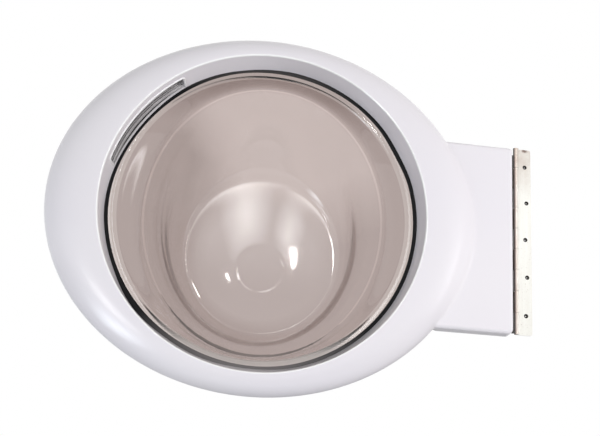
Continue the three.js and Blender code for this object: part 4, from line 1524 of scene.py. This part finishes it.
def makeGrip():
    form = gripForm
    wallAngle = math.degrees(form["wall"] / form["radius"])
    fromAngle, toAngle = form["fromAngle"] - wallAngle, form["toAngle"] + wallAngle
    outer = gripSkin(0, 0)
    outer[0] = (form["mouthRadius"] + form["roofShort"], outer[0][1])
    outer[3] = (form["mouthRadius"] - form["lowerReach"], outer[3][1])
    corners = [0, form["corner"], form["corner"], 0]
    cup = swept("finger_cup", rounded(outer, corners), fromAngle, toAngle, form["steps"])
    pocket = rounded(gripSkin(form["wall"], form["hollowReach"]), corners)
    hollow = swept("grip hollow", pocket, form["fromAngle"], form["toAngle"], form["steps"])
    bevelled(hollow, form["hollowRound"], 4, 60)
    combined(cup, [hollow], "DIFFERENCE")
    earBack, earFront = form["back"], form["back"] - form["wall"]
    near = form["earRadius"] - form["earLength"] / 2
    far = form["earRadius"] + form["earLength"] / 2
    ear = [(near, earFront), (far, earFront), (far, earBack), (near, earBack)]
    ears = []
    lap, inset, wide = form["earLap"], form["earHoleInset"], form["earHole"]
    for start, end in ((fromAngle - form["earAngle"], fromAngle + lap),
                       (toAngle - lap, toAngle + form["earAngle"])):
        tab = swept("ear", ear, start, end, form["earSteps"])
        x, z = polar(form["earRadius"], start + inset if start < fromAngle else end - inset)
        low, high = earFront - 2 * past, earBack + 2 * past
        section = [(0.0, low), (wide, low), (wide, high), (0.0, high)]
        hole = turned("ear hole", section, form["holeSides"], x, z)
        ears.append(combined(tab, [hole], "DIFFERENCE"))
    combined(cup, ears, "UNION")
    inner = form["radius"] - form["wall"]
    first = form["front"] + form["slope"] + form["wall"] + form["ribStart"]
    pitch = (form["back"] - form["wall"] - first) / form["ribs"]
    middle = first + pitch / 2
    half = form["ribWidth"] / 2
    wide = half + form["ribFoot"]
    rib = rounded([
        (inner - form["ribHeight"], middle - half),
        (inner + past, middle - wide),
        (inner + past, middle + wide),
        (inner - form["ribHeight"], middle + half),
    ], [form["ribRound"], 0, 0, form["ribRound"]])
    ribs = rowOfCopies.grow(alongGrip("grip ribs", rib), **{"Count": form["ribs"], "Step Y": pitch * mm})
    combined(cup, [ribs] + [gripLedge(radius) for radius in form["ledges"]], "UNION")
    return dress(crisp(cup, 35, True), gripMoulding, "door", "grip", "grip_cup")


makeGrip()
report("grip")


# Strip hinge: strips with rolled knuckles that alternate along the pin

hingeForm = {
    "bore": 1.6,
    "barrel": 2.9,
    "halfHeight": 100.3,
    "knuckles": 9,
    "knuckleGap": 0.3,
    "stripStart": 2.6,
    "curlEnd": 340.0,
    "cabinetWidth": 16.8,
    "doorWidth": 29.0,
    "doorTop": 93.0,
    "doorBottom": -99.0,
    "corner": 3.0,
    "holePitch": 40.14,
    "holes": 5,
    "holeRadius": 0.5,
    "holeSink": 2.2,
    "holeInset": 11.1,
    "holeStagger": 0.8,
    "holeFlare": 0.5,
    "holeLand": 0.2,
    "holeSides": 40,
    "leafEdge": 0.12,
    "curlSteps": 40,
    "cornerSteps": 8,
    "screwFromPin": 19.0,
    "pin": 1.4,
    "pinEnd": 0.9,
    "pinBevel": 0.5,
    "pinSides": 30,
}
skin = 0.05        # what a countersink leaves of its face

leafScrewForm = {
    "head": 3.2,
    "headHeight": 1.2,
    "shank": 1.6,
    "play": 0.3,
    "length": 11.0,
    "fromPin": 2.8,
}


leafSlots = [stripSteel, holeShadeSteel]


def rolledSection(width):        # the strip's end curled round the pin, seen along the pin
    form = hingeForm
    steps = form["curlSteps"]
    outer = [polar(form["barrel"], mix(90, form["curlEnd"], i / steps)) for i in range(steps + 1)]
    inner = [polar(form["bore"], mix(form["curlEnd"], 90, i / steps)) for i in range(steps + 1)]
    return [(width, form["barrel"])] + outer + inner + [(width, form["bore"])]


def stripPlate(width, bottom, top):
    form = hingeForm
    outline = [(form["stripStart"], bottom), (width, bottom), (width, top), (form["stripStart"], top)]
    outline = rounded(outline, [0, form["corner"], form["corner"], 0], form["cornerSteps"])
    rings = [[(x, depth, z) for x, z in outline] for depth in (form["bore"], form["barrel"])]
    return lofted("strip", rings, capped=True, origin=pinOrigin)


def leafPlate(name, width, bottom, top, first, cutters, mirror):
    form = hingeForm
    length = 2 * form["halfHeight"] / form["knuckles"]
    low = -form["halfHeight"] + first * length + form["knuckleGap"] / 2
    high = low + length - form["knuckleGap"]
    section = rolledSection(form["stripStart"] + past)
    rings = [[(x, y, z) for x, y in section] for z in (low, high)]
    knuckle = lofted("knuckles", rings, capped=True, origin=pinOrigin)
    count = (form["knuckles"] - first + 1) // 2
    knuckles = rowOfCopies.grow(knuckle, **{"Count": count, "Step Z": 2 * length * mm})
    inked(knuckles, [])
    leaf = inked(stripPlate(width, bottom, top), leafSlots)
    leaf.name = name
    combined(leaf, [knuckles], "UNION")
    combined(leaf, cutters, "DIFFERENCE")
    bevelled(leaf, form["leafEdge"], 2, 50)
    if mirror:
        middle = pinOrigin.x * mm
        for point in leaf.data.vertices:
            point.co.x = 2 * middle - point.co.x
        faceOut(leaf)
    return crisp(leaf, 30, True)


def leafCutter(x, z, sections):
    cutter = turned("leaf cutter", sections, hingeForm["holeSides"], x, z, pinOrigin)
    # the cutter's faces give the hole walls the near-black steel: painted shade
    return inked(cutter, leafSlots, 1)


def holeHeights():
    form = hingeForm
    return [(i - (form["holes"] - 1) / 2) * form["holePitch"] for i in range(form["holes"])]


def makeHinge():
    form = hingeForm
    front, back = form["bore"], form["barrel"]
    cutters = []
    for i, height in enumerate(holeHeights()):
        x = form["holeInset"] + form["holeStagger"] * (1 if i % 2 else -1)
        cutters.append(leafCutter(x, height, [
            (0.0, front - past),
            (form["holeSink"] + form["holeFlare"], front - past),
            (form["holeSink"], front + skin),
            (form["holeRadius"], back - form["holeLand"]),
            (form["holeRadius"], back + past),
            (0.0, back + past),
        ]))
    cabinet = leafPlate("leaf_on_cabinet", form["cabinetWidth"], -form["halfHeight"],
                        form["halfHeight"], 0, cutters, False)
    dress(cabinet, None, "cabinet_side", "leaf", "cabinet_leaf")
    screw = leafScrewForm
    head, shank = screw["head"] + screw["play"], screw["shank"] + screw["play"]
    cutters = [leafCutter(form["screwFromPin"], height, [
        (0.0, back + past),
        (head, back + past),
        (head, back - skin),
        (shank, back - screw["headHeight"]),
        (shank, front - past),
        (0.0, front - past),
    ]) for height in holeHeights()]
    door = leafPlate("leaf_on_door", form["doorWidth"], form["doorBottom"], form["doorTop"], 1,
                     cutters, True)
    dress(door, None, "door", "leaf", "door_leaf")
    end, bevel, sides = form["halfHeight"], form["pinBevel"], form["pinSides"]
    outline = [(form["pinEnd"], -end), (form["pin"], -end + bevel), (form["pin"], end - bevel),
               (form["pinEnd"], end)]
    circle = [polar(1, 360 * i / sides) for i in range(sides)]
    rings = [[(r * c, r * s, z) for c, s in circle] for r, z in outline]
    pin = lofted("knuckle_pin", rings, capped=True, origin=pinOrigin)
    dress(crisp(pin), drawnSteel, "cabinet_side", "steel", "hinge_pin")


makeHinge()
report("hinge")


# Latch: a sprung metal hook on a pin, in a moulded carrier

hookForm = {
    "x": -189.0,
    "pinDepth": 19.0,
    "hub": 4.6,
    "shank": 3.4,
    "reach": 34.0,
    "beakLength": 8.0,
    "beak": 7.0,
    "thickness": 8.0,
    "bore": 2.2,
    "boreSides": 36,
    "hubSteps": 40,
    "heel": 1.0,
    "rounds": (1.2, 0.8, 1.5, 2.5, 1, 1.5),
    "edge": 0.5,
}

springForm = {
    "wire": 0.45,
    "coil": 3.1,
    "turns": 4,
    "pitch": 1.35,
    "leg": 7.0,
    "play": 1.3,
    "pocketFloor": 14.0,
    "pocketHalfWidth": 7.5,
    "gap": 0.3,
    "perTurn": 24,
}


def makeHook():
    form = hookForm
    tip = form["pinDepth"] + form["reach"]
    left, right = form["x"] - form["shank"], form["x"] + form["shank"]
    spread = math.degrees(math.asin(form["shank"] / form["hub"]))
    steps = form["hubSteps"]
    hub = [polar(form["hub"], mix(90 - spread, spread - 270, i / steps)) for i in range(steps + 1)]
    outline = [(form["x"] + x, form["pinDepth"] + y) for x, y in hub]
    head = rounded([
        (left, tip - form["beak"]),
        (left - form["beakLength"], tip - form["beak"]),
        (left - form["beakLength"], tip - form["beak"] / 2),
        (left, tip),
        (right - form["heel"], tip),
        (right, tip - form["beak"] / 2),
    ], form["rounds"])
    outline += head
    half = form["thickness"] / 2
    rings = [[(x, y, z) for x, y in outline] for z in (-half, half)]
    hook = lofted("door_hook", rings, capped=True)
    sides = form["boreSides"]
    circle = [polar(form["bore"], 360 * i / sides) for i in range(sides)]
    bore = lofted("bore", [[(form["x"] + x, form["pinDepth"] + y, z) for x, y in circle]
                           for z in (-half - past, half + past)], capped=True)
    combined(hook, [bore], "DIFFERENCE")
    bevelled(hook, form["edge"], 3, 40)
    return dress(crisp(hook, 35, True), sinteredMetal, "hook", "hook", "latch_hook")


def makeSpring():
    form, hook = springForm, hookForm
    low = hook["thickness"] / 2 + form["gap"] + form["wire"]
    beside = hook["shank"] + form["wire"] + form["play"]
    floor = form["pocketFloor"] + form["gap"] + form["wire"] - hook["pinDepth"]
    path = [
        (beside, form["leg"], -hook["thickness"] / 4),
        (beside, form["leg"], low - form["wire"]),
        (form["coil"], form["leg"] / 2, low),
    ]
    perTurn = form["perTurn"]
    for step in range(form["turns"] * perTurn + 1):
        x, y = polar(form["coil"], -360 * step / perTurn)
        path.append((x, y, low + form["pitch"] * step / perTurn))
    high = low + form["pitch"] * form["turns"]
    path += [
        (form["coil"], floor / 2, high),
        (form["coil"] + form["wire"], floor, high),
        (form["pocketHalfWidth"] - form["wire"] - form["gap"], floor, high),
    ]
    points = [(hook["x"] + x, hook["pinDepth"] + y, z) for x, y, z in path]
    seed = meshObject("hook_spring", points, [])
    seed.data.edges.add(len(points) - 1)
    for i, edge in enumerate(seed.data.edges):
        edge.vertices = (i, i + 1)
    spring = drawnWire.grow(seed)
    faceOut(spring)
    return dress(crisp(spring, 60), drawnSteel, "door", "steel", "latch_spring")


makeHook()
makeSpring()
refinish("latch_housing", latchMoulding)
refinish("latch_pin", drawnSteel)
refinish("hinge_plate", zincSteel)
report("latch")


# Screws

def screwsAt(name, places, back, sizes, *nodes):
    seed = meshObject(name, [(x, back, z) for x, z in places], [])
    screws = countersunkScrews.grow(seed, **{size: value * mm for size, value in sizes.items()})
    faceOut(screws)
    dress(crisp(screws, 30), zincSteel, "door", "screws", *nodes)


def screwSizes(form):
    return {"Head Radius": form["head"], "Head Height": form["headHeight"] - screwForm["rim"],
            "Shank Radius": form["shank"], "Length": form["length"]}


def makeScrews():
    form, leaf = screwForm, leafScrewForm
    back = shellForm["backDepth"] - form["fromBack"]
    sizes = screwSizes(form)
    angles = coverForm["screwAngles"]
    screwsAt("cover_screws", [rimPlace(a) for a in angles], back, sizes,
             *[f"cover_screw_{i + 1}" for i in range(len(angles))])
    places = [(coverForm["latchX"], side * coverForm["latchScrewZ"]) for side in (-1, 1)]
    screwsAt("latch_screws", places, back, {**sizes, "Length": form["latchLength"]},
             "latch_screw_1", "latch_screw_2")
    fromBowl = pinOrigin.x - doorOrigin.x - hingeForm["screwFromPin"]
    heights = holeHeights()
    screwsAt("hinge_screws", [(fromBowl, z) for z in heights],
             pinOrigin.y - doorOrigin.y + leaf["fromPin"], screwSizes(leaf),
             *[f"hinge_screw_{i + 1}" for i in range(len(heights))])


gripScrewForm = {
    "gap": 0.3,
    "head": 3.0,
    "headHeight": 1.7,
    "headRound": 1.1,
    "shank": 1.3,
    "length": 8.0,
    "tip": 2.0,
    "slotFloor": 0.8,
    "slot": (1.6, 0.35),
    "sides": 32,
}


def makeGripScrews():        # pan heads against the cup's ears
    form, sizes = gripForm, gripScrewForm
    wallAngle = math.degrees(form["wall"] / form["radius"])
    angles = [form["fromAngle"] - wallAngle - form["earAngle"] / 2,
              form["toAngle"] + wallAngle + form["earAngle"] / 2]
    head = form["back"] + sizes["gap"]
    top, foot = head + sizes["headHeight"], head - sizes["length"]
    section = rounded([(0.0, top), (sizes["head"], top), (sizes["head"], head),
                       (sizes["shank"], head), (sizes["shank"], foot), (0.0, foot - sizes["tip"])],
                      [0, sizes["headRound"], 0, 0, 0, 0])
    long, wide = sizes["slot"]
    screws = []
    for angle in angles:
        x, z = polar(form["earRadius"], angle)
        screw = turned("grip_screws", section, sizes["sides"], x, z)
        slots = [boxCutter((x - a, head + sizes["slotFloor"], z - b), (x + a, top + past, z + b))
                 for a, b in ((long, wide), (wide, long))]
        screws.append(combined(screw, slots, "DIFFERENCE"))
    joined(screws[0], screws[1:])
    dress(crisp(screws[0], 30), zincSteel, "door", "screws", "grip_screw_1", "grip_screw_2")


makeScrews()
makeGripScrews()
report("screws")


# Rubber stops on the back

stopForm = {
    "radius": 6.0,
    "height": 1.2,
    "stem": 2.0,
    "barb": 3.0,
    "barbHeight": 1.6,
    "gap": 0.3,
    "rounds": (0, 0.9, 0.2, 0, 0, 0.2, 0.3, 0),
    "sides": 64,
}


def makeStops():
    form = stopForm
    foot = shellForm["backDepth"] + form["gap"]
    barb = shellForm["backDepth"] - coverForm["thickness"] - form["gap"]
    section = rounded([
        (0.0, foot + form["height"]),
        (form["radius"], foot + form["height"]),
        (form["radius"], foot),
        (form["stem"], foot),
        (form["stem"], barb),
        (form["barb"], barb),
        (form["stem"], barb - form["barbHeight"]),
        (0.0, barb - form["barbHeight"]),
    ], form["rounds"])
    for angle, node in zip(coverForm["stopAngles"], ("upper_bumper", "lower_bumper")):
        x, z = rimPlace(angle)
        stop = turned(node.replace("bumper", "stop"), section, form["sides"], x, z)
        dress(crisp(stop, 40), stopRubber, "door", "rubber", node)


makeStops()
report("stops")


# Floor, sky and lamps

stageForm = {
    "floorHeight": -1000.0,
    "floorSize": 9000.0,
    "floorColour": (0.82, 0.82, 0.83),
    "floorRoughness": 0.8,
    "floorGlow": 0.55,
    "skyLight": 0.38,
    "softness": 3.0,
}
white = (1, 1, 1, 1)


def raySeen(nodes, links, kinds):        # 1 on any of these kinds of ray, else 0
    path = nodes.new("ShaderNodeLightPath")
    seen = path.outputs[kinds[0]]
    for kind in kinds[1:]:
        either = nodes.new("ShaderNodeMath")
        either.operation = "MAXIMUM"
        links.new(seen, either.inputs[0])
        links.new(path.outputs[kind], either.inputs[1])
        seen = either.outputs["Value"]
    return seen


def makeFloor():
    half = stageForm["floorSize"] / 2
    height = stageForm["floorHeight"]
    corners = [(-half, -half, height), (half, -half, height), (half, half, height), (-half, half, height)]
    floor = meshObject("floor", corners, [(0, 1, 2, 3)])
    look = Finish("pale floor", stageForm["floorColour"], stageForm["floorRoughness"])
    seen = raySeen(look.nodes, look.links, ("Is Camera Ray", "Is Transmission Ray"))
    glow = look.add("ShaderNodeEmission")
    glow.inputs["Color"].default_value = white
    look.links.new(look.ramp(seen, 0, stageForm["floorGlow"]), glow.inputs["Strength"])
    total = look.add("ShaderNodeAddShader")
    look.links.new(look.shader.outputs["BSDF"], total.inputs[0])
    look.links.new(glow.outputs["Emission"], total.inputs[1])
    look.links.new(total.outputs["Shader"], look.nodes["Material Output"].inputs["Surface"])
    floor.data.materials.append(look.material)


def makeSky():        # white to the eye and in glass and gloss, softer as light on the object
    world = bpy.data.worlds.new("studio")
    scene.world = world
    world.use_nodes = True
    nodes, links = world.node_tree.nodes, world.node_tree.links
    background = nodes["Background"]
    background.inputs["Color"].default_value = white
    seen = raySeen(nodes, links, ("Is Camera Ray", "Is Glossy Ray", "Is Transmission Ray"))
    level = nodes.new("ShaderNodeMapRange")
    level.inputs["To Min"].default_value = stageForm["skyLight"]
    level.inputs["To Max"].default_value = 1.0
    links.new(seen, level.inputs["Value"])
    links.new(level.outputs["Result"], background.inputs["Strength"])


# places in millimetres from the bowl; "along" is the way the width lies, "shows" whether the lamp
# can be seen as a reflection
lamps = {
    "side": {"place": (976, -726, 44), "aim": (140, 0, 0), "size": (264, 572), "watts": 7.0,
             "colour": (1.0, 0.99, 1.0), "along": (1, 0, 0), "soft": False, "shows": False},
    "window": {"place": (-778, -728, -632), "aim": (-120, 0, -110), "size": (1300, 440),
               "watts": 4.6, "colour": (0.86, 0.93, 1.0), "along": (-464, 667, -437),
               "soft": True, "shows": True},
    "soft box": {"place": (20, -1369, 535), "aim": (0, 140, 30), "size": (240, 460), "watts": 0.8,
                 "colour": (1.0, 0.99, 0.98), "along": (1, 0, 0), "soft": True, "shows": True},
    "strip": {"place": (1180, -640, 20), "aim": (-130, 40, 40), "size": (90, 900), "watts": 0.5,
              "colour": (1.0, 0.99, 1.0), "along": (1, 0, 0), "soft": True, "shows": True},
    "second box": {"place": (215, -1369, 470), "aim": (40, 140, 0), "size": (150, 330), "watts": 0.3,
                   "colour": (1.0, 0.99, 0.98), "along": (1, 0, 0), "soft": True, "shows": True},
    "left pane": {"place": (-640, -1245, -215), "aim": (75, 144, 44), "size": (640, 340), "watts": 1.6,
                  "colour": (1.0, 1.0, 1.0), "along": (-850, 530, 0), "soft": True, "shows": True},
    "bulb": {"place": (249, -1395, 371), "aim": (46, 140, -15), "size": (54, 100), "watts": 0.5,
             "colour": (1.0, 1.0, 0.98), "along": (1, 0, 0), "soft": False, "shows": True},
    "small bulb": {"place": (-57, -1428, 253), "aim": (-28, 140, -44), "size": (26, 48),
                   "watts": 0.14, "colour": (1.0, 1.0, 0.98), "along": (1, 0, 0), "soft": False,
                   "shows": True},
}


def softenEdge(data):        # the lamp fades out towards its edge
    data.use_nodes = True
    nodes, links = data.node_tree.nodes, data.node_tree.links
    glow = nodes["Emission"]
    place = nodes.new("ShaderNodeNewGeometry")
    centred = nodes.new("ShaderNodeMapping")
    centred.inputs["Location"].default_value = (-1, -1, 0)
    centred.inputs["Scale"].default_value = (2, 2, 0)
    ball = nodes.new("ShaderNodeTexGradient")
    ball.gradient_type = "SPHERICAL"
    links.new(place.outputs["Parametric"], centred.inputs["Vector"])
    links.new(centred.outputs["Vector"], ball.inputs["Vector"])
    level = nodes.new("ShaderNodeMath")
    level.operation = "MULTIPLY"
    level.inputs[1].default_value = stageForm["softness"]
    links.new(ball.outputs["Fac"], level.inputs[0])
    links.new(level.outputs["Value"], glow.inputs["Strength"])


def makeLamps():
    for name, form in lamps.items():
        data = bpy.data.lights.new(name, "AREA")
        data.shape = "ELLIPSE"
        data.size, data.size_y = form["size"][0] * mm, form["size"][1] * mm
        data.energy = form["watts"]
        data.color = form["colour"]
        if form["soft"]:
            softenEdge(data)
        lamp = bpy.data.objects.new(name, data)
        scene.collection.objects.link(lamp)
        lamp.visible_glossy = form["shows"]
        lamp.visible_transmission = form["shows"] and not form["soft"]
        back = (Vector(form["place"]) - Vector(form["aim"])).normalized()
        up = back.cross(Vector(form["along"])).normalized()
        turn = Matrix((up.cross(back), up, back)).transposed().to_4x4()
        lamp.matrix_world = Matrix.Translation((Vector(form["place"]) + doorOrigin) * mm) @ turn


makeFloor()
makeSky()
makeLamps()
scene.view_settings.view_transform = "Standard"
report("stage")
